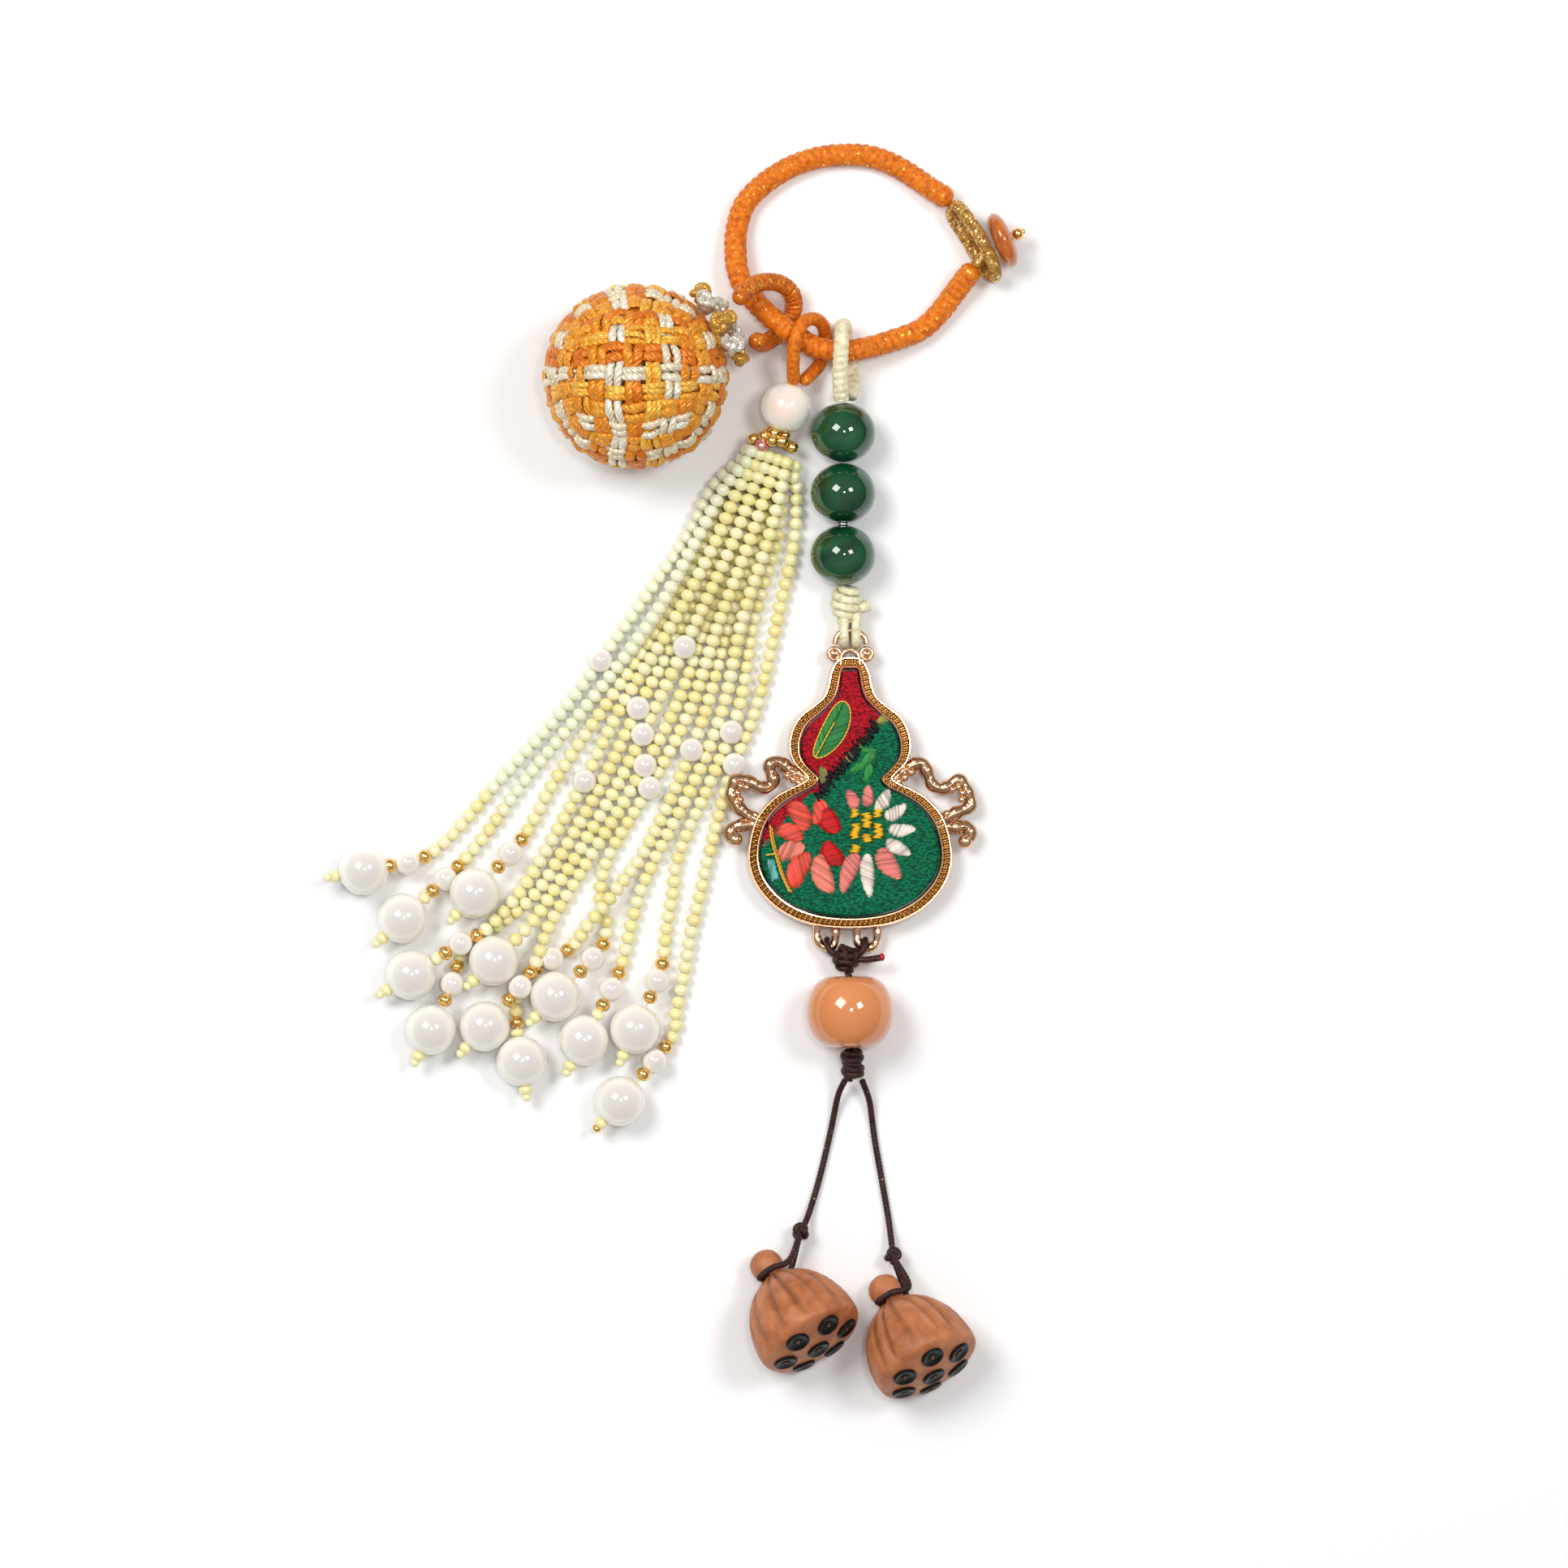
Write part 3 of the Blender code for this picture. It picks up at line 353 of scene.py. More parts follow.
# Hanging loops: a thick orange loop carries the ball, a thin one the tassel, and a cream one the
# gourd. Each passes over the carry cord and back under it. All are braided silk.

CREAM_SILK = silk("cream_silk", (0.62, 0.55, 0.33), (0.93, 0.88, 0.62), (1.0, 0.95, 0.7), 0.5, 0.05)
DARK_ORANGE_SILK = silk("dark_orange_silk", (0.36, 0.06, 0.004), (0.68, 0.16, 0.006), (1.0, 0.55, 0.1),
                        glint_share=0.22)

BALL_LOOP_ROUTE = (
    (13.7, 93.1, 15.6), (15.8, 95.3, 12.8), (18.5, 96.4, 9.8), (21.6, 96.2, 6.9), (23.8, 94.4, 4.4),
    (24.3, 91.7, 2.6), (23.3, 89.0, 1.95), (21.4, 86.6, 1.95), (19.4, 85.2, 3.4), (18.3, 84.5, 6.5),
    (17.7, 84.3, 10.0), (17.0, 84.5, 13.4),
)
TASSEL_LOOP_ROUTE = (
    (24.2, 77.4, 7.2), (24.1, 80.0, 9.0), (24.3, 83.4, 10.6), (25.0, 86.4, 10.6), (26.3, 88.6, 8.9),
    (28.3, 89.3, 6.2), (30.0, 88.2, 3.4), (30.5, 85.8, 1.7), (30.2, 83.0, 1.5), (29.3, 80.4, 2.1),
    (27.6, 78.4, 3.8), (26.6, 77.4, 5.2),
)
CREAM_LOOP_ROUTE = (
    (33.6, 73.4, 7.2), (33.4, 77.4, 9.1), (33.5, 81.8, 10.2), (33.7, 85.2, 9.8), (33.9, 87.3, 7.6),
    (34.1, 87.9, 4.8), (34.4, 86.4, 2.3), (35.0, 83.0, 1.65), (35.6, 79.2, 1.9), (35.9, 76.8, 3.0),
    (35.2, 74.0, 4.6),
)


def hanging_loop(name, node, route, radius, pitch, starts, material, steep=False):
    """A braided loop: two sets of ribs that lean both ways round it, crossing under each other."""

    def braid(along, angle):
        one = math.sin(starts * angle + math.tau * along / pitch)
        two = math.sin(starts * angle - math.tau * along / pitch)
        return radius * (0.8 + 0.2 * max(abs(one), abs(two)) ** 0.8)

    def wraps(along, angle):
        return radius * (0.82 + 0.18 * abs(math.sin(math.pi * (along / pitch + angle / math.tau))) ** 0.5)

    line = smooth_line(route, 0.2)
    bm = bmesh.new()
    sleeve(bm, line, 20, wraps if steep else braid, first_up=(0, 1, 0))
    piece = show(name, bm, material, [node])
    path = metres(smooth_line(route, 2.5))
    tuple(path[0])
    total(line)
    return piece


hanging_loop("ball_hanging_loop", "ball_loop", BALL_LOOP_ROUTE, 1.8, 1.15, 2, DARK_ORANGE_SILK, True)
hanging_loop("tassel_hanging_loop", "tassel_loop", TASSEL_LOOP_ROUTE, 1.35, 2.6, 2, ORANGE_SILK)
hanging_loop("gourd_hanging_loop", "cream_loop", CREAM_LOOP_ROUTE, 1.6, 1.4, 2, CREAM_SILK, True)


# Pod cords: two dark brown braided cords that run from the low knot to the ties on the pods.

BROWN_SILK = silk("brown_silk", (0.01, 0.004, 0.004), (0.05, 0.016, 0.013), (0.35, 0.2, 0.14), 0.4, 0.06)
POD_CORD_R = 0.65
POD_CORD_LEFT = (
    (34.4, -61.5, 4.2), (33.1, -64.4, 2.6), (32.2, -68.6, 1.1), (31.3, -73.0, 0.75), (29.4, -80.9, 0.7),
    (27.6, -87.0, 1.2), (26.6, -89.7, 2.6),
)
POD_CORD_RIGHT = (
    (37.8, -61.5, 4.2), (39.2, -65.5, 2.2), (39.8, -69.6, 0.9), (40.4, -74.0, 0.75), (41.9, -82.5, 0.7),
    (43.1, -89.5, 0.9), (43.7, -94.2, 2.8),
)
for hand, route in (("left", POD_CORD_LEFT), ("right", POD_CORD_RIGHT)):
    line = smooth_line(route, 0.15)
    cord_bm = bmesh.new()
    sleeve(cord_bm, line, 12,
           lambda along, angle: POD_CORD_R * (0.86 + 0.14 * max(abs(math.sin(angle + math.tau * along / 1.5)),
                                                                abs(math.sin(angle - math.tau * along / 1.5)))))
    pod_cord = show("pod_cord_braid_" + hand, cord_bm, BROWN_SILK, ["pod_cord_" + hand])
    path = metres(smooth_line(route, 1.5))
    if total(line) >= 0.03:
        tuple(path[0])
        total(line)

# Closure: a loop wrapped in gold-brown metal thread joins the cord's ends, and a polished stone disc
# on a wrapped shank goes through it. A small gold bead stops the disc.

GOLD_THREAD = silk("gold_thread", (0.16, 0.06, 0.008), (0.5, 0.25, 0.035), (1.0, 0.72, 0.3), 0.38, 0.3)
CLOSURE_RING = (
    (56.7, 111.5, 5.9), (60.2, 107.0, 7.6), (62.3, 103.0, 8.2), (63.8, 99.7, 7.4), (64.0, 97.9, 5.0),
    (62.8, 98.6, 2.6), (60.6, 101.9, 2.0), (58.2, 105.9, 2.3), (55.8, 109.8, 3.4),
)
SHANK_ROUTE = ((60.1, 99.9, 5.0), (61.6, 101.6, 5.3), (63.4, 103.6, 5.6))
BUTTON_CENTRE = Vector((65.6, 104.9, 5.9)) + PLAN_SHIFT
BUTTON_AXIS = Vector((0.92, 0.39, 0.0)).normalized()


def wraps_of(radius, pitch):
    """The radius of a cord wrapped in thread, one turn each pitch."""
    return lambda along, angle: radius * (0.86 + 0.14 * abs(math.sin(math.pi * (along / pitch + angle / math.tau))) ** 0.5)


def lathe(bm, profile, centre, axis, segments, radius_at=None, tint=None):
    """A turned shape. Each row of the profile is a distance along the axis and a radius."""
    side = axis.cross(Vector((0, 0, 1))).normalized() if abs(axis.z) < 0.99 else Vector((1, 0, 0))
    up = side.cross(axis)

    def place(i, j):
        along, r = profile[j]
        angle = math.tau * i / segments
        if radius_at and r:
            r = radius_at(along, r, angle)
        return centre + axis * along + side * (r * math.cos(angle)) + up * (r * math.sin(angle))

    part = fresh(tint)
    paint(part, roll(part, segments, len(profile) - 1, place), tint)
    bmesh.ops.remove_doubles(part, verts=part.verts, dist=1e-4)
    graft(bm, part)


def round_profile(radius, half_length, rows, square=1.0):
    """A bead's profile from pole to pole; square under 1 makes its shoulders fuller."""
    found = []
    for i in range(rows + 1):
        angle = math.pi * i / rows
        found.append((-half_length * math.cos(angle), radius * math.sin(angle) ** square if 0 < i < rows else 0.0))
    return found


ring_bm = bmesh.new()
sleeve(ring_bm, smooth_line(CLOSURE_RING, 0.2, closed=True), 18, wraps_of(1.35, 0.62), closed=True,
       first_up=(0.4, 0.2, 1.0))
show("closure_ring_wrap", ring_bm, GOLD_THREAD, ["closure_loop"])
shank_bm = bmesh.new()
sleeve(shank_bm, smooth_line(SHANK_ROUTE, 0.12), 16, wraps_of(1.15, 0.5))
show("button_shank_wrap", shank_bm, GOLD_THREAD, ["button_shank"])


def stone(name, dark, light, scale, roughness=0.08, **sockets):
    """Polished stone with cloudy depth."""
    made = plain_material(name, light, roughness, coat_weight=0.6, coat_roughness=0.03, **sockets)
    tree = made.node_tree
    place = tree.nodes.new("ShaderNodeTexCoord").outputs["Object"]
    cloud = add(made, "ShaderNodeTexNoise", scale=scale, detail=4.0, roughness=0.55, distortion=0.8)
    tree.links.new(place, cloud.inputs["Vector"])
    colour = ramp(made, cloud.outputs["Fac"], ((0.32, dark), (0.66, light)))
    tree.links.new(colour, tree.nodes["Principled BSDF"].inputs["Base Color"])
    bump(made, cloud.outputs["Fac"], 0.04, 0.0004)
    return made


RUST_STONE = stone("rust_stone", (0.3, 0.05, 0.005), (0.75, 0.2, 0.02), 140.0)
disc_bm = bmesh.new()
DISC_PROFILE = (
    (-1.9, 0.0), (-1.9, 2.6), (-1.75, 3.6), (-1.35, 4.7), (-0.75, 5.5), (0.0, 5.8), (0.75, 5.5), (1.35, 4.7),
    (1.75, 3.6), (1.9, 2.6), (1.9, 0.0),
)
lathe(disc_bm, DISC_PROFILE, BUTTON_CENTRE, BUTTON_AXIS, 40)
show("button_stone", disc_bm, RUST_STONE, ["button_disc"])

GOLD = plain_material("gold_bead", (0.95, 0.62, 0.2), 0.18, metallic=1.0)
knob_bm = bmesh.new()
lathe(knob_bm, round_profile(1.25, 1.15, 12), BUTTON_CENTRE + BUTTON_AXIS * 3.3, BUTTON_AXIS, 20)
lathe(knob_bm, round_profile(0.55, 0.5, 8), BUTTON_CENTRE + BUTTON_AXIS * 4.4, BUTTON_AXIS, 12)
show("button_bead", knob_bm, GOLD, ["button_knob"])


# Cord ends: each cord and loop is cut and bound round, so that its end is a small rounded cap.

CORD_ENDS = (
    ("carry_cord_ends", ORANGE_SILK, 2.15, (WRIST_ROUTE,)),
    ("ball_loop_ends", DARK_ORANGE_SILK, 1.75, (BALL_LOOP_ROUTE,)),
    ("tassel_loop_ends", ORANGE_SILK, 1.3, (TASSEL_LOOP_ROUTE,)),
)
for name, material, radius, routes in CORD_ENDS:
    ends_bm = bmesh.new()
    for route in routes:
        for last, inner in ((route[0], route[1]), (route[-1], route[-2])):
            out = (Vector(last) - Vector(inner)).normalized()
            lathe(ends_bm, round_profile(radius, 1.5, 12), Vector(last) + PLAN_SHIFT, out, 20)
    show(name, ends_bm, material)


# Woven ball: bands of flat orange silk, gold braid and pale silver cord, plaited over and under
# each other round a light core. Its gaps are dark: the core is painted dark brown as painted shade
# between the strips. The ball is pressed a little flat below.

BALL_CENTRE = Vector((-6.9, 77.3, 17.9)) + PLAN_SHIFT
BAND_R = 17.25
BANDS = 7
CROSSING_RISE = 0.6
STRIP_TINTS = {
    "orange": ((0.9, 0.3, 0.015), (0.8, 0.2, 0.008), (0.95, 0.38, 0.03)),
    "gold": ((0.95, 0.42, 0.03), (0.85, 0.3, 0.012), (1.0, 0.55, 0.08)),
    "pale": ((0.95, 0.86, 0.66), (1.0, 0.93, 0.76), (0.9, 0.78, 0.55)),
}
BAND_KINDS = ("gold", "orange", "pale", "orange", "gold", "pale", "orange")


def band_point(axis, where, turn):
    """Direction from the ball's middle: where is the band's place on its axis, turn runs 0 to 4."""
    run, across = (axis + 1) % 3, (axis + 2) % 3
    face = int(turn) % 4
    slide = math.tan((turn - int(turn) - 0.5) * math.pi / 2)
    way = [0.0, 0.0, 0.0]
    way[axis] = math.tan((where - 0.5) * math.pi / 2)
    first, second = ((1, slide), (-slide, 1), (-1, -slide), (slide, -1))[face]
    way[run] = first
    way[across] = second
    return Vector(way).normalized()


def tinted(name, roughness, metallic, fibres, fibre_bump, mottle=0.6, **sockets):
    """Thread or bead whose colour is painted on the mesh, with fibres that follow its length."""
    made = plain_material(name, (0.8, 0.8, 0.8), roughness, metallic=metallic, **sockets)
    tree = made.node_tree
    paint = add(made, "ShaderNodeAttribute", attribute_name="tint")
    place = tree.nodes.new("ShaderNodeTexCoord")
    tone = add(made, "ShaderNodeTexNoise", scale=1400.0, detail=3.0)
    tree.links.new(place.outputs["Object"], tone.inputs["Vector"])
    shade = ramp(made, tone.outputs["Fac"], ((0.3, (mottle,) * 3), (0.6, (1.0, 1.0, 1.0))))
    mix = tree.nodes.new("ShaderNodeMix")
    mix.data_type = "RGBA"
    mix.blend_type = "MULTIPLY"
    mix.inputs["Factor"].default_value = 1.0
    tree.links.new(paint.outputs["Color"], mix.inputs["A"])
    tree.links.new(shade, mix.inputs["B"])
    tree.links.new(mix.outputs["Result"], tree.nodes["Principled BSDF"].inputs["Base Color"])
    if fibres:
        wave = add(made, "ShaderNodeTexWave", scale=fibres, distortion=2.0, detail=2.0)
        wave.bands_direction = "DIAGONAL"
        tree.links.new(place.outputs["UV"], wave.inputs["Vector"])
        bump(made, wave.outputs["Fac"], fibre_bump, 0.0002)
    return made


dice = random.Random(7)
ball_bm = bmesh.new()
ball_bm.verts.layers.float_color.new("tint")
samples = 4 * BANDS * 6
for axis in range(3):
    for band in range(BANDS):
        kind = BAND_KINDS[(band + 2 * axis) % BANDS]
        sign = 1.0 if band % 2 == 0 else -1.0
        offsets = (-0.24, 0.24) if kind != "gold" else (-0.29, 0.0, 0.29)
        for offset in offsets:
            tint = dice.choice(STRIP_TINTS[kind])
            drift = dice.uniform(0, 50)
            line = []
            ups = []
            for k in range(samples):
                turn = 4 * k / samples
                wander = 0.09 * math.sin(turn * 5.1 + drift) + 0.06 * math.sin(turn * 11.7 + 2 * drift)
                way = band_point(axis, (band + 0.5 + offset + wander) / BANDS, turn)
                rise = CROSSING_RISE * sign * math.cos(math.pi * (turn * BANDS - 0.5))
                rise += 0.16 * math.sin(turn * 7.3 + drift)
                line.append(BALL_CENTRE + way * (BAND_R + rise))
                ups.append(way)
            wide, high = {"orange": (1.1, 0.42), "pale": (0.86, 0.6), "gold": (0.72, 0.5)}[kind]
            sleeve(ball_bm, line, 8, lambda along, angle: 1.0 + 0.1 * math.sin(along * 3.1 + drift), wide, high,
                   closed=True, ups=ups, tint=tint)
for vert in ball_bm.verts:
    vert.co.z = max(vert.co.z, 0.03)
WOVEN = tinted("woven_strips", 0.32, 0.3, 3.0, 0.6, 0.7)
ball = show("woven_ball_strips", ball_bm, WOVEN, ["woven_ball"])

# the core's dark brown is painted shade, seen through the gaps between the strips
core_bm = bmesh.new()
lathe(core_bm, round_profile(16.6, 16.6, 24), BALL_CENTRE, Vector((0, 0, 1)), 40)
show("woven_ball_core", core_bm, plain_material("ball_core", (0.1, 0.035, 0.008), 0.8))


# Knots on the ball: a rosette of tight round knots, gold and pale silver in turn, on the side that
# faces the carry cord.

KNOT_POLE = Vector((0.85, 0.527, 0.0)).normalized()
KNOT_SILK = tinted("knot_silk", 0.3, 0.55, 2.5, 0.5)


def tight_knot(bm, centre, size, thread, tint, tilt):
    """A round knot: one thread that passes three times over and under itself."""
    spin = Matrix.Rotation(tilt, 3, (0.3, 0.5, 0.8)) @ KNOT_POLE.to_track_quat("Z", "Y").to_matrix()
    line = []
    for k in range(60):
        t = math.tau * k / 60
        r = 0.62 + 0.38 * math.cos(1.5 * 2 * t)
        line.append(centre + spin @ Vector((r * math.cos(2 * t), r * math.sin(2 * t), 0.5 * math.sin(3 * t))) * size)
    sleeve(bm, line, 8, lambda along, angle: thread * (0.9 + 0.1 * abs(math.sin(6 * along))), closed=True, tint=tint)


knots_bm = bmesh.new()
knots_bm.verts.layers.float_color.new("tint")
knot_side = KNOT_POLE.cross(Vector((0, 0, 1)))
for along, ring_r, count, size, thread in ((19.5, 7.3, 8, 1.6, 0.82), (21.3, 3.1, 4, 1.35, 0.75)):
    for k in range(count):
        angle = math.tau * k / count
        at = BALL_CENTRE + KNOT_POLE * along + knot_side * (ring_r * math.cos(angle))
        at += Vector((0, 0, ring_r * math.sin(angle)))
        tint = (0.85, 0.82, 0.7) if (k + count // 4) % 2 else (0.72, 0.4, 0.07)
        tight_knot(knots_bm, at, size, thread, tint, 2.1 * k)
show("ball_rosette_knots", knots_bm, KNOT_SILK, ["ball_knots_outer", "ball_knots_inner"])

# Tassel: twelve strings of pale yellow seed beads hang from a pearl. Under it a cluster of gold beads
# covers the knot. Each string ends in gold, a small pearl, gold, a big pearl and two stop beads.

SEED_R = 1.5
SEED_HALF = 1.27
SEED_PITCH = 2.42
LAYER_PITCH = 2.7
PEARL_R = 5.0
SMALL_PEARL_R = 2.4
GOLD_BEAD_R = 1.5
HEAD_PEARL = Vector((22.7, 71.9, 5.0)) + PLAN_SHIFT
HEAD_ROOT = Vector((19.2, 60.3, 3.0))
HEAD_SPREAD = 10.2
STATION_Y = (56.0, 45.7, 29.6, 12.6, -1.9, -16.4, -24.4, -30.9)
# pearl, x at each station, layers, points after the stations, pearl centre, small pearl before
# the big one (0 for none), length of the climb to the pearl, small pearls farther up
STRANDS = (
    ("01", (8.1, 2.6, -8.5, -21.0, -34.0), "11111", ((-47.6, -16.4),), (-61.0, -19.8), 8.8, 13, (21.7,)),
    ("02", (10.5, 5.0, -4.0, -17.0, -28.9, -39.8), "222111", (), (-53.2, -29.4), 11.4, 8.6, ()),
    ("03", (11.0, 6.9, -1.7, -13.3, -23.0), "11111", ((-29.4, -13.3),), (-39.0, -24.4), 10.5, 13, ()),
    ("04", (13.4, 8.9, 0.5, -10.0, -17.2, -25.2, -30.2), "2221111", ((-36.6, -31.5), (-41.8, -34.4)),
     (-51.6, -40.6), 11.6, 28, (-2.2,)),
    ("06", (13.8, 10.6, 2.6, -6.5, -13.5, -21.7, -26.9), "1111111",
     ((-33.8, -30.4), (-39.8, -33.5), (-42.2, -37.5), (-43.6, -42.8)), (-47.7, -51.5), 10.0, 12, (12.3,)),
    ("05", (16.2, 12.4, 5.0, -3.1, -10.2, -18.5, -23.7), "2221111", ((-28.2, -30.9),), (-35.2, -37.8), 0, 13,
     (24.4, 7.0)),
    ("07", (16.6, 14.0, 7.2, 0.8, -6.9, -15.6, -20.4, -24.2), "11111111", ((-28.2, -40.6),), (-37.0, -50.8),
     10.5, 28, (0.9,)),
    ("08", (19.0, 15.6, 9.5, 3.9, -3.4, -12.1, -14.2, -12.9), "22211111", ((-14.6, -36.2),), (-23.0, -44.9),
     10.5, 15, (-3.6,)),
    ("09", (19.3, 17.2, 11.5, 7.0, 1.5, -5.6, -11.4, -16.6), "11111122",
     ((-19.9, -35.3), (-25.5, -38.4), (-29.2, -41.2), (-30.7, -44.6), (-30.9, -48.6)), (-29.7, -57.7),
     23.6, 6.9, (4.0,)),
    ("10", (21.8, 19.2, 14.0, 10.3, 4.7, -2.6, -6.2, -8.0), "22211111", ((-10.6, -40.6),), (-17.4, -53.6),
     11.5, 15, ()),
    ("11", (22.0, 20.8, 16.3, 13.5, 7.9, 1.6, 0.3, -0.9), "11111111", ((-2.3, -40.3),), (-7.2, -51.4),
     10.5, 15, (7.5,)),
    ("12", (24.8, 24.4, 21.0, 17.0, 11.4, 7.6, 5.8, 4.2), "11111111",
     ((2.4, -41.2), (0.9, -48.1), (-0.2, -53.6)), (-10.2, -65.6), 10.5, 15, (1.0,)),
)
SEED_TINTS = ((0.92, 0.84, 0.42), (0.94, 0.86, 0.48), (0.9, 0.8, 0.36), (0.93, 0.87, 0.55))


def pearl_skin(name, colour, rim, roughness=0.16):
    """Pearl: a pale body under a clear coat. Its rim is painted a little warmer by the angle of view, a painted
    reflection.
    """
    made = plain_material(name, colour, roughness, coat_weight=0.7, coat_roughness=0.06, specular_ior_level=0.6,
                          subsurface_weight=0.1, subsurface_scale=0.002)
    tree = made.node_tree
    edge = add(made, "ShaderNodeLayerWeight", blend=0.35)
    place = tree.nodes.new("ShaderNodeTexCoord").outputs["Object"]
    cloud = add(made, "ShaderNodeTexNoise", scale=320.0, detail=2.0)
    tree.links.new(place, cloud.inputs["Vector"])
    # painted reflection: the base colour turns from the body colour to the warmer rim colour as the surface turns away
    # from the view
    tree.links.new(ramp(made, edge.outputs["Facing"], ((0.04, colour), (0.3, rim))),
                   tree.nodes["Principled BSDF"].inputs["Base Color"])
    bump(made, cloud.outputs["Fac"], 0.05, 0.0003)
    return made


# the second colour of each pearl is the painted reflection on its rim
PEARL = pearl_skin("pearl", (0.72, 0.67, 0.63), (1.0, 0.95, 0.86))
HEAD_PEARL_SKIN = pearl_skin("head_pearl_skin", (0.9, 0.74, 0.64), (0.96, 0.97, 0.86))
SEED_GLASS = tinted("seed_glass", 0.16, 0.0, 0, 0.0, 0.96, coat_weight=0.6, coat_roughness=0.04, specular_ior_level=0.7,
                    subsurface_weight=0.3, subsurface_scale=0.0015)
seeds_bm = bmesh.new()
seeds_bm.verts.layers.float_color.new("tint")
gold_bm = bmesh.new()
small_pearls_bm = bmesh.new()
threads_bm = bmesh.new()
dice = random.Random(11)


def bead(bm, at, way, radius, half, tint=None, fine=10):
    """A round bead threaded along a direction."""
    turned = way.to_track_quat("Z", "Y").to_matrix().to_4x4()
    place = Matrix.Translation(at) @ turned @ Matrix.Diagonal((radius, radius, half, 1.0))
    part = fresh(tint)
    bmesh.ops.create_uvsphere(part, u_segments=fine, v_segments=max(6, fine * 2 // 3), radius=1.0, matrix=place)
    paint(part, part.verts, tint)
    graft(bm, part)


def strand_line(row):
    """A string's whole route, from under the gold beads to its big pearl, in plan points."""
    number, xs, layers, more, end, before, climb, farther = STRANDS[row]
    root = HEAD_ROOT + Vector((0.95, -0.31, 0)) * (HEAD_SPREAD * (row / (len(STRANDS) - 1) - 0.5))
    root.z = 2.9 if layers[0] == "1" else 4.9
    route = [root + Vector((0.8, 2.6, 0.6)), root]
    for x, y, layer in zip(xs, STATION_Y, layers):
        route.append(Vector((x, y, SEED_R + LAYER_PITCH * (int(layer) - 1))))
    route += [Vector((x, y, SEED_R)) for x, y in more]
    route.append(Vector((*end, SEED_R)))
    return smooth_line(route, 0.1)


for row, (number, xs, layers, more, end, before, climb, farther) in enumerate(STRANDS):
    line = strand_line(row)
    length = 0.1 * (len(line) - 1)

    def at_back(back):
        """The point and direction at a distance back from the big pearl's middle."""
        k = max(1, min(len(line) - 2, round((length - back) / length * (len(line) - 1))))
        at = line[k].copy()
        rise = max(0.0, min(1.0, (climb - back) / (climb - PEARL_R - 0.8)))
        at.z += (PEARL_R - SEED_R) * (1 - (1 - rise) ** 2)
        return at, (line[k + 1] - line[k - 1]).normalized()

    small = [before] if before else []
    for y in farther:
        nearest = min(range(len(line)), key=lambda k: abs(line[k].y - PLAN_SHIFT.y - y))
        small.append(length * (1 - nearest / (len(line) - 1)))
    taken = [(0.0, PEARL_R)]
    for back in small:
        at, way = at_back(back)
        at.z = max(at.z, SMALL_PEARL_R)
        bead(small_pearls_bm, at, way, SMALL_PEARL_R, SMALL_PEARL_R, fine=20)
        taken.append((back, SMALL_PEARL_R))
    if before:
        for back in (before - 3.5, before + 3.5):
            at, way = at_back(back)
            bead(gold_bm, at, way, GOLD_BEAD_R, 1.3, fine=16)
            taken.append((back, 1.2))
    if number == "09":
        at, way = at_back(7.6)
        bead(gold_bm, at, way, GOLD_BEAD_R, 1.3, fine=16)
        taken.append((7.6, 1.2))
    pale = row < 2
    taken.sort()
    for (low, low_half), (high, high_half) in zip(taken, taken[1:] + [(length, 0.0)]):
        start, stop = low + low_half - 0.1, high - high_half + 0.1
        count = round((stop - start) / SEED_PITCH)
        for k in range(count):
            back = start + (stop - start) * (k + 0.5) / count
            at, way = at_back(back)
            at.z = max(at.z, SEED_R)
            tint = (0.9, 0.9, 0.66) if pale and back > 30 else dice.choice(SEED_TINTS)
            size = SEED_R * dice.uniform(0.98, 1.06)
            bead(seeds_bm, at, way, size, min(SEED_HALF * 1.1, 0.52 * (stop - start) / count), tint)
    thread_line = [at_back(0.5 + (length - 1.0) * (1 - k / 60))[0] for k in range(61)]
    sleeve(threads_bm, thread_line, 4, lambda along, angle: 0.22)

    middle = Vector((*end, PEARL_R)) + PLAN_SHIFT
    at, way = at_back(0.6)
    way = Vector((way.x, way.y, 0)).normalized()
    pearl_bm = bmesh.new()
    bead(pearl_bm, middle, way, PEARL_R, PEARL_R, fine=36)
    show("pearl_skin_" + number, pearl_bm, PEARL, ["pearl_" + number])
    bead(seeds_bm, middle + way * 5.75, way, 1.4, 1.15, SEED_TINTS[0], fine=12)
    if number == "12":
        bead(gold_bm, middle + way * 7.2, way, 0.95, 0.75, fine=12)
    else:
        bead(seeds_bm, middle + way * 7.3, way, 0.95, 0.8, SEED_TINTS[1], fine=12)

GOLD_CLUSTER = (
    (16.3, 65.6, 4.2), (18.4, 66.2, 5.6), (20.4, 66.7, 6.0), (20.0, 65.2, 6.6), (22.0, 65.1, 5.9), (24.0, 63.9, 4.6),
    (19.4, 66.9, 3.2), (22.4, 66.3, 3.4), (17.6, 65.2, 2.6), (22.9, 64.6, 2.4),
)
for x, y, z in GOLD_CLUSTER:
    bead(gold_bm, Vector((x, y, z)) + PLAN_SHIFT, Vector((0.3, 0.1, 1)).normalized(), 1.25, 1.1, fine=16)
show("strand_seed_beads", seeds_bm, SEED_GLASS, ["tassel"])
show("strand_gold_beads", gold_bm, GOLD)
show("strand_small_pearls", small_pearls_bm, PEARL)
show("strand_threads", threads_bm, plain_material("bead_thread", (0.8, 0.74, 0.5), 0.6))
rose_bm = bmesh.new()
bead(rose_bm, Vector((17.9, 64.2, 5.6)) + PLAN_SHIFT, Vector((1, 0.2, 0.3)).normalized(), 1.5, 1.3, fine=16)
show("rose_bead", rose_bm, plain_material("rose_metal", (0.9, 0.42, 0.38), 0.25, metallic=0.8))
head_bm = bmesh.new()
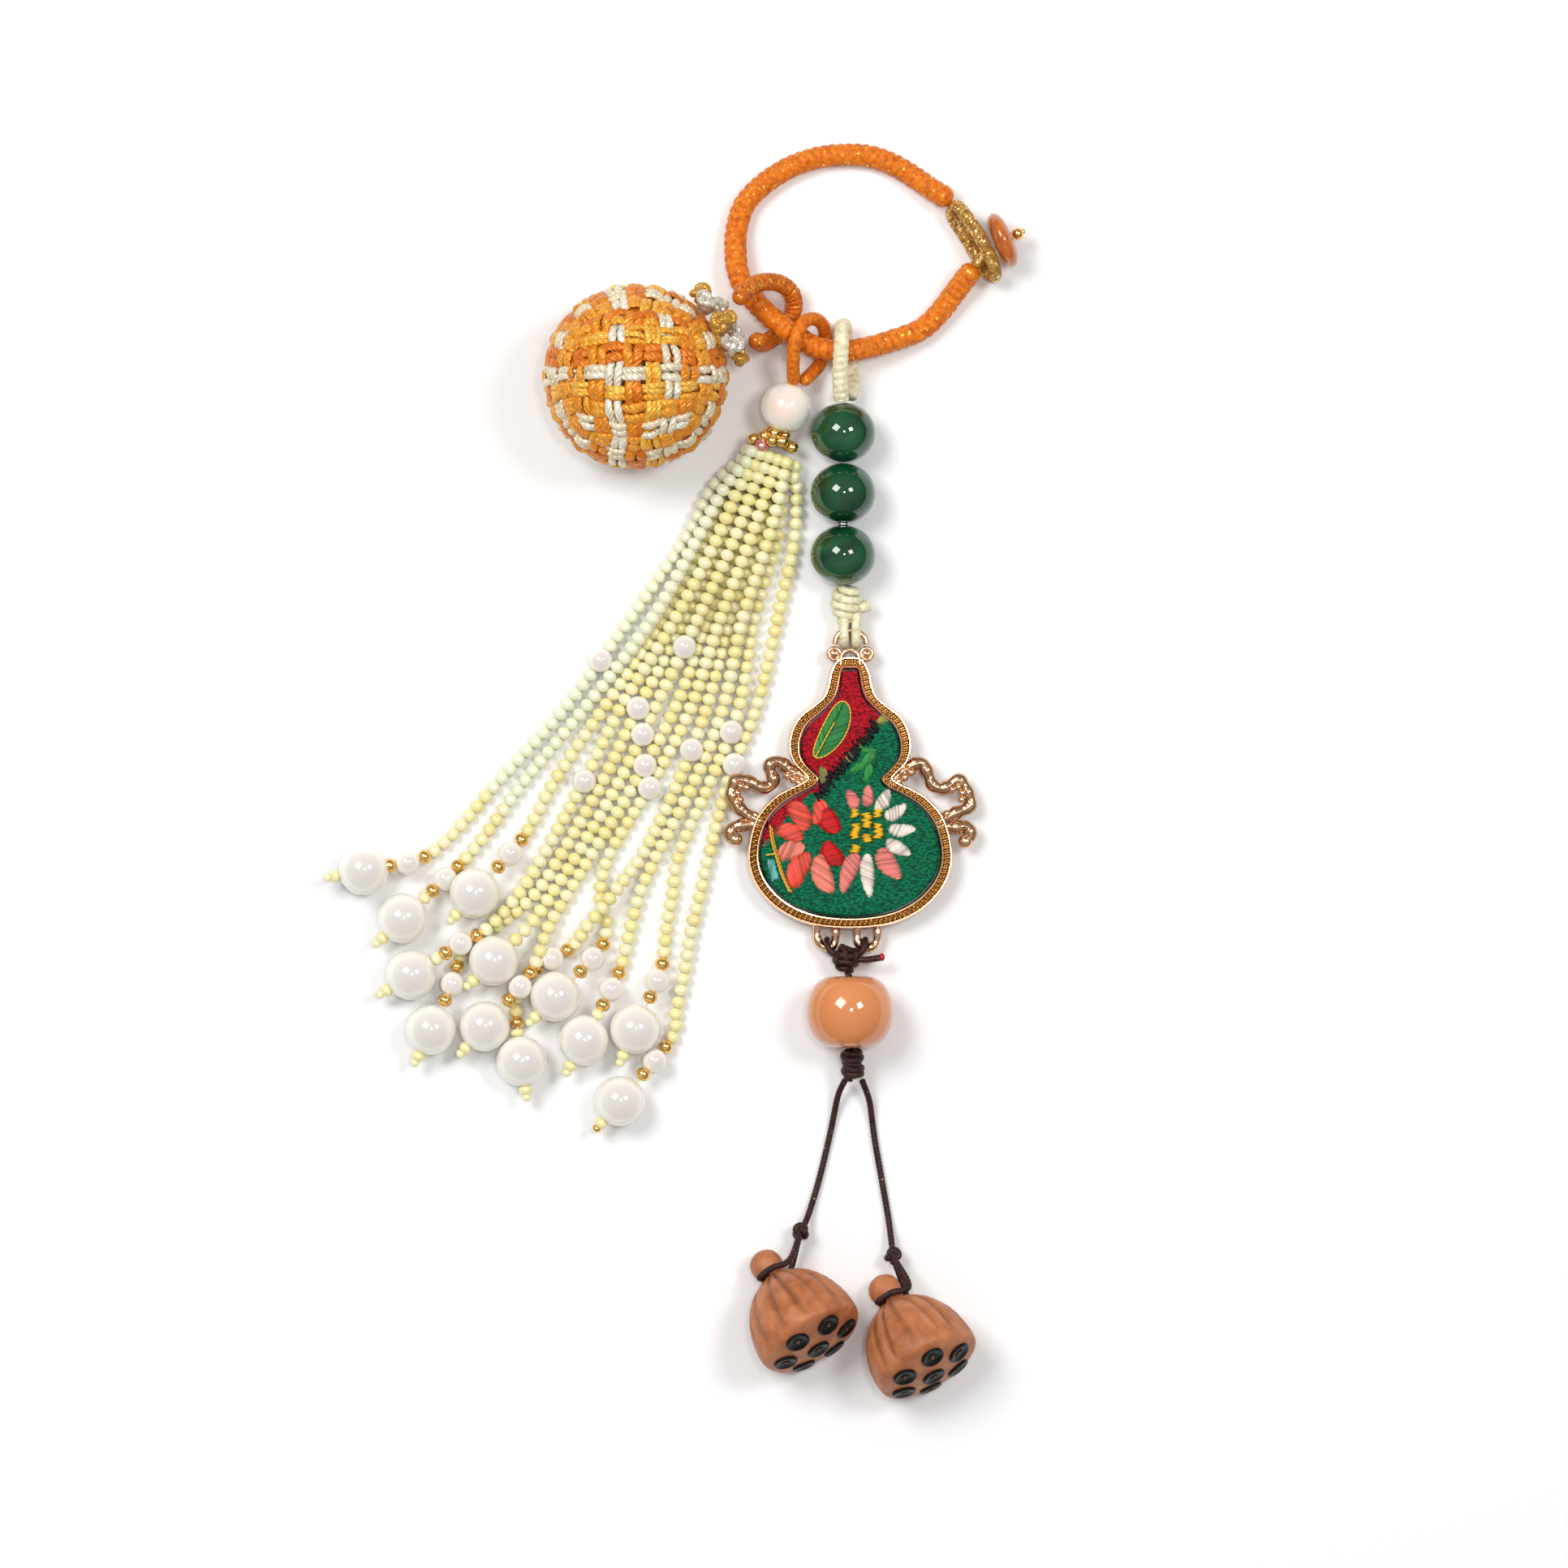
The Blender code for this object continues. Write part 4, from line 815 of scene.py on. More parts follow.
bead(head_bm, HEAD_PEARL, Vector((-0.29, -0.957, 0)), PEARL_R, PEARL_R, fine=40)
show("head_pearl_skin_piece", head_bm, HEAD_PEARL_SKIN, ["head_pearl"])


# Green beads: three polished agate rounds strung on the cream cord, a silver spacer between the
# lower two.

GREEN_R = 6.45
GREEN_HALF = 5.9
GREEN_PLACES = ((34.0, 66.8), (34.0, 54.8), (34.0, 42.5))
GREEN_STONE = stone("green_stone", (0.001, 0.02, 0.007), (0.006, 0.095, 0.032), 90.0, 0.05)
for number, (x, y) in enumerate(GREEN_PLACES, 1):
    bead_bm = bmesh.new()
    lathe(bead_bm, round_profile(GREEN_R, GREEN_HALF, 32, 0.96), Vector((x, y, GREEN_R)) + PLAN_SHIFT,
          Vector((0, 1, 0)), 48)
    show(f"agate_bead_{number}", bead_bm, GREEN_STONE, [f"green_bead_{number}"])
spacer_bm = bmesh.new()
lathe(spacer_bm, round_profile(1.3, 0.55, 8), Vector((34.0, 48.65, 6.45)) + PLAN_SHIFT, Vector((0, 1, 0)), 20)
show("silver_spacer", spacer_bm, plain_material("silver", (0.8, 0.8, 0.78), 0.2, metallic=1.0))


# Cream knot: the gourd's cord is tied off in a wrapped knot with its tail at the right, and two
# turns of it pass through the gourd's bail.

cream_bm = bmesh.new()
KNOT_BODY = ((34.9, 36.2, 5.0), (34.8, 34.4, 4.4), (34.7, 32.2, 3.9), (34.6, 30.0, 3.6), (34.6, 29.2, 3.5))


def coil(centre_line, radius_at, turns, samples=18):
    """A thread wound round a line, in millimetres of the row frame."""
    centres = smooth_line(centre_line, 0.2)
    frames = frames_along(centres, first_up=(0, 0, 1))
    count = round(turns * samples)
    found = []
    for k in range(count + 1):
        part = k / count
        here = min(len(centres) - 1, round(part * (len(centres) - 1)))
        along, side, up, way = frames[here]
        angle = math.tau * turns * part
        r = radius_at(part)
        found.append(centres[here] + (side * math.cos(angle) + up * math.sin(angle)) * r)
    return found


sleeve(cream_bm, coil(KNOT_BODY, lambda part: 1.0 + 1.5 * math.sin(math.pi * min(1.0, part * 1.15)) ** 0.7, 4.3), 8,
       lambda along, angle: 0.88 * (0.85 + 0.15 * abs(math.sin(2 * angle + 3.2 * along))))
sleeve(cream_bm, smooth_line(KNOT_BODY, 0.4), 10, lambda along, angle: 1.5)
for x in (34.2, 36.6):
    leg = ((x + 0.2, 31.0, 4.6), (x, 28.6, 5.2), (x, 26.2, 5.0), (x, 24.9, 3.1), (x, 26.2, 1.15), (x, 28.6, 1.1),
           (x + 0.2, 31.0, 2.2))
    sleeve(cream_bm, smooth_line(leg, 0.2), 10, wraps_of(0.98, 0.7), first_up=(1, 0, 0))
sleeve(cream_bm, smooth_line(((35.5, 31.5, 4.2), (37.6, 32.2, 4.4), (39.2, 32.6, 4.1)), 0.2), 10, wraps_of(1.15, 0.7))
show("cream_knot_tied", cream_bm, CREAM_SILK, ["cream_knot"])


# Barrel bead: polished amber-orange stone, thickest in the middle, strung below the gourd.

BARREL_CENTRE = Vector((35.3, -47.8, 8.65)) + PLAN_SHIFT
AMBER = stone("amber", (0.62, 0.2, 0.06), (0.76, 0.3, 0.11), 60.0, 0.1, subsurface_weight=0.2,
              subsurface_scale=0.003)
BARREL_PROFILE = (
    (-1.0, 0.0), (-0.99, 0.2), (-1.0, 0.42), (-0.97, 0.54), (-0.9, 0.67), (-0.78, 0.78), (-0.62, 0.87), (-0.42, 0.945),
    (-0.2, 0.985), (0.0, 0.995), (0.2, 0.985), (0.42, 0.945), (0.62, 0.87), (0.78, 0.78), (0.9, 0.67), (0.97, 0.54),
    (1.0, 0.42), (0.99, 0.2), (1.0, 0.0),
)
barrel_bm = bmesh.new()
lathe(barrel_bm, [(7.0 * along, 8.65 * r) for along, r in BARREL_PROFILE], BARREL_CENTRE, Vector((0, 1, 0)), 56)
show("amber_barrel", barrel_bm, AMBER, ["barrel_bead"])


# Gourd frame: a rose gold casting. Two polished edges stand up on each side of a milled channel, a
# cast ribbon curls out at each side of the waist, and loops hold the bail above and the cord below.
# Its colour is painted light and shade: tops lighter as painted highlight, its sides darker and its
# channel darkest as painted shade.

GOURD_X = 35.4
FRAME_TOP = 5.5
# Half of the rim, from the top down: inner x, inner y, outer x, outer y
RIM = (
    (0.0, 20.0, 0.0, 22.6), (1.5, 19.9, 2.4, 22.0), (1.9, 17.9, 3.9, 19.6), (2.2, 16.2, 4.5, 16.8),
    (3.1, 14.0, 5.5, 14.4), (5.6, 11.4, 7.4, 12.8), (8.4, 8.9, 10.3, 10.5), (9.7, 6.0, 12.0, 6.9),
    (9.8, 3.3, 12.1, 3.6), (9.0, 1.4, 11.2, 1.3), (7.4, -0.4, 9.6, -0.3), (6.1, -1.9, 8.6, -1.6),
    (7.6, -3.5, 9.8, -2.6), (10.4, -4.9, 12.4, -3.8), (13.9, -7.2, 15.5, -5.7), (16.6, -10.7, 18.7, -9.6),
    (17.9, -15.3, 20.2, -15.0), (17.7, -19.3, 20.1, -19.6), (15.9, -22.9, 18.1, -24.0), (12.4, -26.2, 14.0, -28.0),
    (7.1, -28.5, 8.0, -30.7), (0.0, -29.3, 0.0, -31.5),
)
RIM_STEPS = 5
PAINTED_LIT_ABOVE = 5.0
# part of the way across the rim, height
RIM_SECTION = (
    (0.0, 0.4), (0.0, 4.7), (0.03, 5.2), (0.1, 5.5), (0.2, 5.52), (0.28, 5.25), (0.32, 4.75), (0.68, 4.75),
    (0.72, 5.1), (0.8, 5.36), (0.9, 5.36), (0.97, 5.05), (1.0, 4.5), (1.0, 0.4), (0.85, 0.0), (0.15, 0.0),
)


def rim_half(first, second):
    """One half of a rim line, smoothed between the rows of the table."""
    points = [Vector((row[first], row[second])) for row in RIM]
    found = []
    for i, (b, c) in enumerate(zip(points, points[1:])):
        a = points[i - 1] if i else Vector((-c.x, c.y))
        d = points[i + 2] if i + 2 < len(points) else Vector((-b.x, b.y))
        for k in range(RIM_STEPS):
            t = k / RIM_STEPS
            found.append(b + 0.5 * t * ((c - a) + t * (2 * a - 5 * b + 4 * c - d + t * (3 * b - a - 3 * c + d))))
    return found + [points[-1]]


RIM_INNER = rim_half(0, 1)
RIM_OUTER = rim_half(2, 3)


def rim_line(part, z):
    """A closed line part of the way from the rim's inner edge to its outer edge."""
    half = [p.lerp(q, part) for p, q in zip(RIM_INNER, RIM_OUTER)]
    line = [Vector((GOURD_X + p.x, p.y, z)) for p in half]
    line += [Vector((GOURD_X - p.x, p.y, z)) for p in reversed(half[1:-1])]
    return [p + PLAN_SHIFT for p in line]


# the casting's colour is painted light and shade: a lighter tone as painted highlight on tops and raised parts, darker
# ones as painted shade on the sides and in the channel
PAINTED_LIT_GOLD = (0.88, 0.55, 0.34)
PAINTED_RECESS_SHADE_GOLD = (0.2, 0.08, 0.025)
PAINTED_SHADE_GOLD = (0.62, 0.35, 0.19)
ROSE_GOLD = tinted("rose_gold", 0.15, 1.0, 0, 0.0, 0.9)
MILLED_GOLD = tinted("milled_gold", 0.26, 1.0, 0, 0.0, 0.6)
frame_bm = bmesh.new()
painted_light = frame_bm.verts.layers.float_color.new("tint")
loops = [rim_line(part, z) for part, z in RIM_SECTION]
around = len(loops[0])
for vert in roll(frame_bm, len(loops), around, lambda i, j: loops[i % len(loops)][j % around]):
    # by height: the rim's top is painted lighter as highlight, the channel between its edges darkest and its sides
    # darker, as painted shade
    vert[painted_light] = (*(PAINTED_LIT_GOLD if vert.co.z > PAINTED_LIT_ABOVE else PAINTED_RECESS_SHADE_GOLD if vert.co.z > 4.6 else PAINTED_SHADE_GOLD), 1.0)
bmesh.ops.remove_doubles(frame_bm, verts=frame_bm.verts, dist=1e-4)
# the ribbons' tops, their beads, the eyelet rings, the arch and the lower rings get the lighter tone, painted
# highlight; the ribbons' bodies and the eyelet beads get the darker one, painted shade
RIBBONS = (
    ((28.0, -2.3), (26.0, -1.2), (23.7, -0.1), (21.1, 1.7), (19.4, 0.6), (20.2, -2.3), (18.2, -3.5), (15.3, -2.3),
     (12.9, -2.1), (11.9, -4.6), (13.1, -7.2), (15.3, -9.0), (18.0, -10.4)),
    ((17.8, -10.8), (14.6, -10.9), (12.2, -11.5), (11.7, -13.2), (12.9, -13.9)),
    ((42.9, -2.4), (44.6, -1.4), (46.8, 0.4), (49.6, 1.4), (50.8, -0.6), (51.9, -3.0), (54.2, -3.6), (56.9, -2.0),
     (58.4, -3.8), (59.3, -7.0), (56.5, -8.5), (53.0, -10.2)),
    ((53.2, -10.9), (56.2, -11.4), (58.5, -11.2), (59.3, -13.0), (58.1, -14.4)),
)
for route in RIBBONS:
    line = smooth_line([(x, y, 3.7) for x, y in route], 0.3)
    sleeve(frame_bm, line, 14, lambda along, angle: 1.0 + 0.12 * math.sin(2.1 * along), 1.25, 1.0, tint=PAINTED_SHADE_GOLD)
    sleeve(frame_bm, [p + Vector((0, 0, 0.8)) for p in line], 8, lambda along, angle: 0.4 + 0.1 * math.sin(2.1 * along),
           tint=PAINTED_LIT_GOLD)
    for end in (line[2], line[-2]):
        bead(frame_bm, end, Vector((0, 0, 1)), 1.45, 1.3, PAINTED_LIT_GOLD, fine=18)
for x, y in ((26.4, -2.9), (25.2, -2.5), (24.1, -1.9), (23.0, -1.2), (25.9, -1.9), (24.4, -0.9), (13.7, -3.2), (14.9, -3.5),
             (13.1, -4.6), (13.6, -5.9), (16.6, -9.0), (43.9, -2.9), (45.1, -2.3), (46.3, -1.5), (47.6, -0.5), (44.6, -1.6),
             (46.1, -0.6), (56.9, -3.4), (55.7, -3.9), (57.7, -4.6), (57.6, -5.9), (54.6, -8.7)):
    bead(frame_bm, Vector((x, y, 4.2)) + PLAN_SHIFT, Vector((0, 0, 1)), 0.78, 0.7, PAINTED_LIT_GOLD, fine=12)
for x in (32.3, 38.7):
    bead(frame_bm, Vector((x, 23.0, 3.1)) + PLAN_SHIFT, Vector((0, 0, 1)), 1.6, 1.6, PAINTED_SHADE_GOLD, fine=22)
    ring = [(x + 1.15 * math.cos(t), 23.0 + 1.15 * math.sin(t), 4.45) for t in (math.tau * k / 8 for k in range(8))]
    sleeve(frame_bm, smooth_line(ring, 0.3, closed=True), 8, lambda along, angle: 0.4, closed=True, tint=PAINTED_LIT_GOLD)
arch = smooth_line(((33.5, 20.9, 4.9), (33.9, 22.9, 4.9), (35.4, 23.8, 4.9), (36.9, 22.9, 4.9), (37.3, 20.9, 4.9)), 0.2)
sleeve(frame_bm, arch, 12, lambda along, angle: 0.52, tint=PAINTED_LIT_GOLD)
LOWER_RINGS = (
    ((29.0, -30.0), (28.8, -32.8), (29.4, -34.6), (30.9, -35.2), (32.3, -34.4), (32.6, -30.4)),
    ((37.0, -30.4), (36.9, -34.0), (38.4, -35.4), (40.2, -34.8), (40.9, -32.8), (40.7, -29.8)),
)
for route in LOWER_RINGS:
    line = smooth_line([(x, y, 2.75) for x, y in route], 0.25)
    sleeve(frame_bm, line, 12, lambda along, angle: 0.9 + 0.1 * math.sin(2 * along), 0.95, 1.0, tint=PAINTED_LIT_GOLD)
show("gourd_rim_casting", frame_bm, ROSE_GOLD, ["gourd_frame"], sharp=50)

milled_bm = bmesh.new()
milled_bm.verts.layers.float_color.new("tint")
# the channel's beads are painted a darker gold than the rim, painted shade in the channel
for part, start in ((0.42, 0.0), (0.58, 0.45)):
    line = rim_line(part, 4.9)
    walk = start
    for p, q in zip(line, line[1:] + line[:1]):
        span = (q - p).length
        while walk < span:
            bead(milled_bm, p.lerp(q, walk / span), Vector((0, 0, 1)), 0.4, 0.36, (0.5, 0.27, 0.07), fine=8)
            walk += 1.0
        walk -= span
show("gourd_milled_channel", milled_bm, MILLED_GOLD)

bail_bm = bmesh.new()
bail_bm.verts.layers.float_color.new("tint")
BAIL = ((32.4, 24.95, 3.1), (32.8, 26.4, 3.1), (33.9, 27.4, 3.1), (35.5, 27.7, 3.1), (37.1, 27.3, 3.1),
        (38.3, 26.3, 3.1), (38.7, 24.95, 3.1))
# the bail wire gets the lighter tone, painted highlight
sleeve(bail_bm, smooth_line(BAIL, 0.2), 14, lambda along, angle: 0.62, tint=PAINTED_LIT_GOLD)
show("gourd_bail_wire", bail_bm, ROSE_GOLD, ["gourd_bail"])


# Gourd cloths: two faces of satin, stretched over a thin pad in the frame. The front is red above a
# slanting black border and green below it; the flowers and leaves are satin stitch, own design.

CLOTH_THICK = 1.2
CLOTH_CLEAR = 0.35
CLOTH_X = 40
RED_DYE = (0.5, 0.006, 0.018)
GREEN_DYE = (0.002, 0.17, 0.075)
CLOTH_EDGE = []
for inner, outer in zip(RIM_INNER[RIM_STEPS:], RIM_OUTER[RIM_STEPS:]):
    in_way = (inner - outer).normalized()
    edge = inner + in_way * CLOTH_CLEAR
    CLOTH_EDGE.append((max(0.0, edge.x), edge.y))


def cloth_half(y):
    """Half the cloth's width at a height in the plan."""
    for (x0, y0), (x1, y1) in zip(CLOTH_EDGE, CLOTH_EDGE[1:]):
        if y1 <= y <= y0:
            return x0 + (x1 - x0) * (y0 - y) / max(1e-6, y0 - y1)
    return 0.0


def cloth_top(x, y, lowest=3.4, dome=0.7):
    half = cloth_half(y)
    t = min(1.0, abs(x - GOURD_X) / half) if half > 0.1 else 1.0
    return lowest + CLOTH_THICK + dome * min(1.0, half / 8.0) * (1 - t * t)


def border_offset(x, y):
    """Over zero on the green side of the slanting border."""
    return (x - 40.8) * 0.77 - (y - 9.2) * 0.64


def front_dye(x, y):
    if y < -4.6:
        return RED_DYE if (x - 22.0) * 0.75 - (y + 11.5) * 0.66 < -0.6 and x < 27.0 else GREEN_DYE
    return GREEN_DYE if border_offset(x, y) > 0 else RED_DYE


def cloth_weave(name):
    """Satin weave, its threads close together, in the dye that is painted on the mesh."""
    made = plain_material(name, RED_DYE, 0.65, specular_ior_level=0.12)
    tree = made.node_tree
    shader = tree.nodes["Principled BSDF"]
    dye = add(made, "ShaderNodeAttribute", attribute_name="tint")
    place = tree.nodes.new("ShaderNodeTexCoord").outputs["Object"]
    weave = add(made, "ShaderNodeTexVoronoi", scale=2600.0)
    turned = tree.nodes.new("ShaderNodeMapping")
    turned.inputs["Rotation"].default_value = (0.0, 0.0, 0.7)
    turned.inputs["Scale"].default_value = (0.5, 1.0, 1.0)
    tree.links.new(place, turned.inputs["Vector"])
    tree.links.new(turned.outputs["Vector"], weave.inputs["Vector"])
    # each weave cell is lighter than the dye in its middle and darker at its edge: the weave's grain, with a painted
    # highlight on its threads
    shade = ramp(made, weave.outputs["Distance"], ((0.05, (1.35, 1.35, 1.35)), (0.7, (0.35, 0.35, 0.35))))
    mix = tree.nodes.new("ShaderNodeMix")
    mix.data_type = "RGBA"
    mix.blend_type = "MULTIPLY"
    mix.inputs["Factor"].default_value = 1.0
    tree.links.new(dye.outputs["Color"], mix.inputs["A"])
    tree.links.new(shade, mix.inputs["B"])
    tree.links.new(mix.outputs["Result"], shader.inputs["Base Color"])
    bump(made, weave.outputs["Distance"], 0.6, 0.0002)
    return made


SATIN = cloth_weave("embroidery_satin")


def cloth_piece(name, node, lowest, dome, dye):
    bm = bmesh.new()
    layer = bm.verts.layers.float_color.new("tint")
    rows = CLOTH_EDGE
    for top in (0, 1):
        def place(i, j):
            half, y = rows[j]
            x = GOURD_X + half * (2 * i / CLOTH_X - 1)
            z = cloth_top(x, y, lowest, abs(dome)) - CLOTH_THICK
            z = lowest + (z - lowest) * (1 if dome > 0 else -1) + top * CLOTH_THICK
            return Vector((x, y, z)) + PLAN_SHIFT
        verts = roll(bm, CLOTH_X, len(rows) - 1, place)
        for vert in verts:
            vert[layer] = (*dye(vert.co.x, vert.co.y - PLAN_SHIFT.y), 1.0)
    bmesh.ops.remove_doubles(bm, verts=bm.verts, dist=1e-4)
    rims = [edge for edge in bm.edges if edge.is_boundary]
    bmesh.ops.bridge_loops(bm, edges=rims)
    return show(name, bm, SATIN, [node])


front = cloth_piece("gourd_front_satin", "gourd_cloth_front", 3.4, 0.7, front_dye)
back = cloth_piece("gourd_back_satin", "gourd_cloth_back", 0.6, -0.4, lambda x, y: RED_DYE)


def petal(x, y, angle, start, length, width, point=0.5):
    """A petal's outline: it leaves a flower's middle at an angle, widest past the given point."""
    way = Vector((math.cos(math.radians(angle)), math.sin(math.radians(angle))))
    side = Vector((-way.y, way.x))
    found = []
    for k in range(20):
        t = math.tau * k / 20
        along = start + length * (0.5 - 0.5 * math.cos(t))
        swell = math.sin(t) * (0.75 + 0.25 * math.cos(t + math.pi * point))
        found.append(Vector((x, y)) + way * along + side * (0.5 * width * swell))
    return found


def crossings(outline, at, way, side):
    """Where a line at a distance along side crosses an outline, as distances along way."""
    found = []
    for p, q in zip(outline, outline[1:] + outline[:1]):
        a, b = p.dot(side) - at, q.dot(side) - at
        if a * b < 0:
            r = p.lerp(q, a / (a - b))
            found.append(r.dot(way))
    return sorted(found)


stitch_dice = random.Random(5)


def stitch(bm, a, b, tint, lift, radius=0.19, low=False):
    """One stitch: a thread that comes up through the cloth, lies on it and goes down again."""
    line = []
    for k in range(5):
        p = a.lerp(b, k / 4)
        raised = lift * (1 - (k / 2 - 1) ** 4) - 0.12
        if low:
            z = 0.6 - (cloth_top(p.x, p.y, 0.6, 0.4) - 0.6 - CLOTH_THICK) - raised
        else:
            z = cloth_top(p.x, p.y) + raised
        line.append(Vector((p.x, p.y, z)) + PLAN_SHIFT)
    sleeve(bm, line, 5, lambda along, angle: radius, tint=tint)


def satin(bm, outline, angle, tint, lift=0.28, pitch=0.3, low=False):
    """Fills an outline with stitches side by side at an angle."""
    way = Vector((math.cos(math.radians(angle)), math.sin(math.radians(angle))))
    side = Vector((-way.y, way.x))
    reach = [p.dot(side) for p in outline]
    at = min(reach) + 0.5 * pitch
    while at < max(reach):
        found = crossings(outline, at, way, side)
        for first, last in zip(found[::2], found[1::2]):
            first += stitch_dice.uniform(-0.12, 0.12)
            last += stitch_dice.uniform(-0.12, 0.12)
            if last - first > 0.35:
                shade = stitch_dice.choice((0.62, 0.85, 1.0, 1.12))
                colour = tuple(min(1.0, c * shade) for c in tint)
                stitch(bm, side * at + way * first, side * at + way * last, colour, lift, low=low)
        at += pitch


def run_stitches(bm, points, tint, length, lift, radius=0.2, low=False):
    """Stitches end to end along a line of plan points."""
    line = smooth_line([(x, y, 0) for x, y in points], length)
    plan = [Vector((p.x, p.y - PLAN_SHIFT.y)) for p in line]
    for p, q in zip(plan, plan[1:]):
        stitch(bm, p, q, tint, lift, radius, low)


CORAL = (0.85, 0.1, 0.06)
PALE_CORAL = (0.88, 0.26, 0.18)
DEEP_RED = (0.6, 0.01, 0.012)
PINK = (0.82, 0.24, 0.2)
WHITE_SILK = (0.85, 0.75, 0.66)
LEAF_GREEN = (0.04, 0.3, 0.06)
OLIVE = (0.3, 0.32, 0.08)
BLACK_SILK = (0.008, 0.006, 0.008)
GOLD_SILK = (0.85, 0.5, 0.06)
TEAL_SILK = (0.16, 0.52, 0.5)
DARK_GREEN = (0.01, 0.12, 0.04)

front_bm = bmesh.new()
front_bm.verts.layers.float_color.new("tint")
# leaf above the border: two satin halves, a gold vein and a gold outline
leaf = petal(28.5, 2.4, 62, 0.0, 12.6, 6.4, 0.6)
satin(front_bm, leaf[:11], 98, LEAF_GREEN)
satin(front_bm, leaf[10:] + leaf[:1], 20, (0.03, 0.24, 0.06))
run_stitches(front_bm, [(p.x, p.y) for p in leaf + leaf[:1]], GOLD_SILK, 0.8, 0.42, 0.17)
run_stitches(front_bm, ((28.5, 2.4), (30.2, 5.6), (32.3, 9.4)), GOLD_SILK, 0.9, 0.5, 0.17)
# the slanting border, thick black stitches across the seam of the two satins
for k in range(110):
    middle = Vector((40.6, 9.0)).lerp(Vector((29.2, -5.0)), k / 109)
    middle += Vector((stitch_dice.uniform(-0.7, 0.7), stitch_dice.uniform(-0.7, 0.7)))
    turn = math.radians(stitch_dice.uniform(-75, 5))
    across = Vector((math.cos(turn), math.sin(turn))) * stitch_dice.uniform(0.4, 0.95)
    if abs(middle.x - GOURD_X) < cloth_half(middle.y) - 1.2:
        stitch(front_bm, middle - across, middle + across, BLACK_SILK, stitch_dice.uniform(0.4, 0.7), 0.2)
# small leaves and tufts beside the border
for x, y, angle, length, width, tint in (
        (34.2, 1.0, 60, 3.4, 1.9, OLIVE), (35.4, -0.6, 40, 3.8, 2.0, LEAF_GREEN), (30.0, -3.2, 95, 4.0, 2.2, OLIVE),
        (38.2, -2.6, 75, 4.4, 2.2, LEAF_GREEN), (37.6, 0.8, 55, 4.2, 2.4, LEAF_GREEN), (40.0, 0.2, 95, 4.0, 2.0, DARK_GREEN),
        (40.6, 9.4, 35, 3.6, 2.2, OLIVE), (37.0, 4.4, -10, 4.0, 1.8, LEAF_GREEN)):
    satin(front_bm, petal(x, y, angle, 0.0, length, width), angle + 15, tint)
# flower at the left: coral petals round two deep red ones
for angle, start, length, width, tint in ((82, 3.4, 5.2, 4.2, CORAL), (122, 2.6, 6.6, 5.2, CORAL), (164, 2.2, 5.4, 4.6, CORAL),
                                          (206, 2.0, 5.8, 4.8, PALE_CORAL), (246, 2.4, 7.8, 5.4, CORAL),
                                          (289, 2.8, 8.0, 5.4, PALE_CORAL)):
    satin(front_bm, petal(28.2, -14.2, angle, start, length, width), angle + 38, tint)
for x, y, angle in ((30.4, -7.9, -58), (30.6, -14.6, -50)):
    satin(front_bm, petal(x, y, angle, -0.4, 5.6, 5.2), 14, DEEP_RED, 0.4)
# flower at the right: white and pink petals in a fan round knots of yellow silk
for angle, length, width, tint in ((114, 4.2, 3.2, PINK), (87, 4.4, 2.9, PINK), (60, 4.8, 3.3, WHITE_SILK),
                                   (32, 5.0, 3.3, WHITE_SILK), (2, 5.4, 3.3, WHITE_SILK), (-27, 5.6, 3.5, WHITE_SILK),
                                   (-54, 7.2, 5.0, PINK), (-86, 8.8, 3.5, WHITE_SILK), (-110, 8.6, 4.2, PINK)):
    satin(front_bm, petal(38.4, -12.0, angle, 4.6, length, width, 0.2), angle + 62, tint)
for k in range(10):
    x = 36.4 + 2.3 * (k % 3)
    y = -8.6 - 2.1 * (k // 3) - 0.7 * (k % 2)
    for turn in range(4):
        nudge = Vector((stitch_dice.uniform(-0.25, 0.25), 0.38 * (turn - 1.5)))
        slope = Vector((stitch_dice.uniform(0.65, 0.9), stitch_dice.uniform(-0.2, 0.2)))
        shade = stitch_dice.uniform(0.75, 1.0)
        tint = (0.95 * shade, 0.55 * shade, 0.015)
        stitch(front_bm, Vector((x, y)) - slope + nudge, Vector((x, y)) + slope + nudge, tint, 0.85, 0.25)
# a gold chain and a teal panel by the left edge
run_stitches(front_bm, ((19.5, -11.0), (19.9, -14.2), (20.9, -17.8), (21.9, -21.0), (23.4, -24.2)), GOLD_SILK, 0.85, 0.6)
run_stitches(front_bm, ((19.9, -11.4), (20.4, -14.6), (21.4, -18.2), (22.4, -21.4), (23.9, -24.4)), (0.7, 0.3, 0.02), 0.85,
             0.55)
satin(front_bm, [Vector(p) for p in ((18.8, -17.8), (20.3, -17.7), (21.2, -21.6), (19.9, -22.2))], 80, TEAL_SILK)
run_stitches(front_bm, ((18.7, -16.9), (20.6, -16.6)), GOLD_SILK, 0.8, 0.5)
THREAD = tinted("embroidery_thread", 0.4, 0.0, 0, 0.0, 0.9, specular_ior_level=0.35)
show("front_embroidery", front_bm, THREAD)

back_bm = bmesh.new()
back_bm.verts.layers.float_color.new("tint")
leaf = petal(33.6, 1.6, 60, 0.0, 9.5, 4.2, 0.6)
satin(back_bm, leaf, 95, LEAF_GREEN, 0.14, low=True)
run_stitches(back_bm, [(p.x, p.y) for p in leaf + leaf[:1]], GOLD_SILK, 0.9, 0.18, 0.15, low=True)
for angle, tint in ((10, CORAL), (62, CORAL), (118, WHITE_SILK), (170, CORAL), (222, CORAL), (278, PINK), (325, CORAL)):
    satin(back_bm, petal(35.4, -15.6, angle, 1.6, 7.6, 4.0), angle + 45, tint, 0.14, low=True)
show("back_embroidery", back_bm, THREAD)


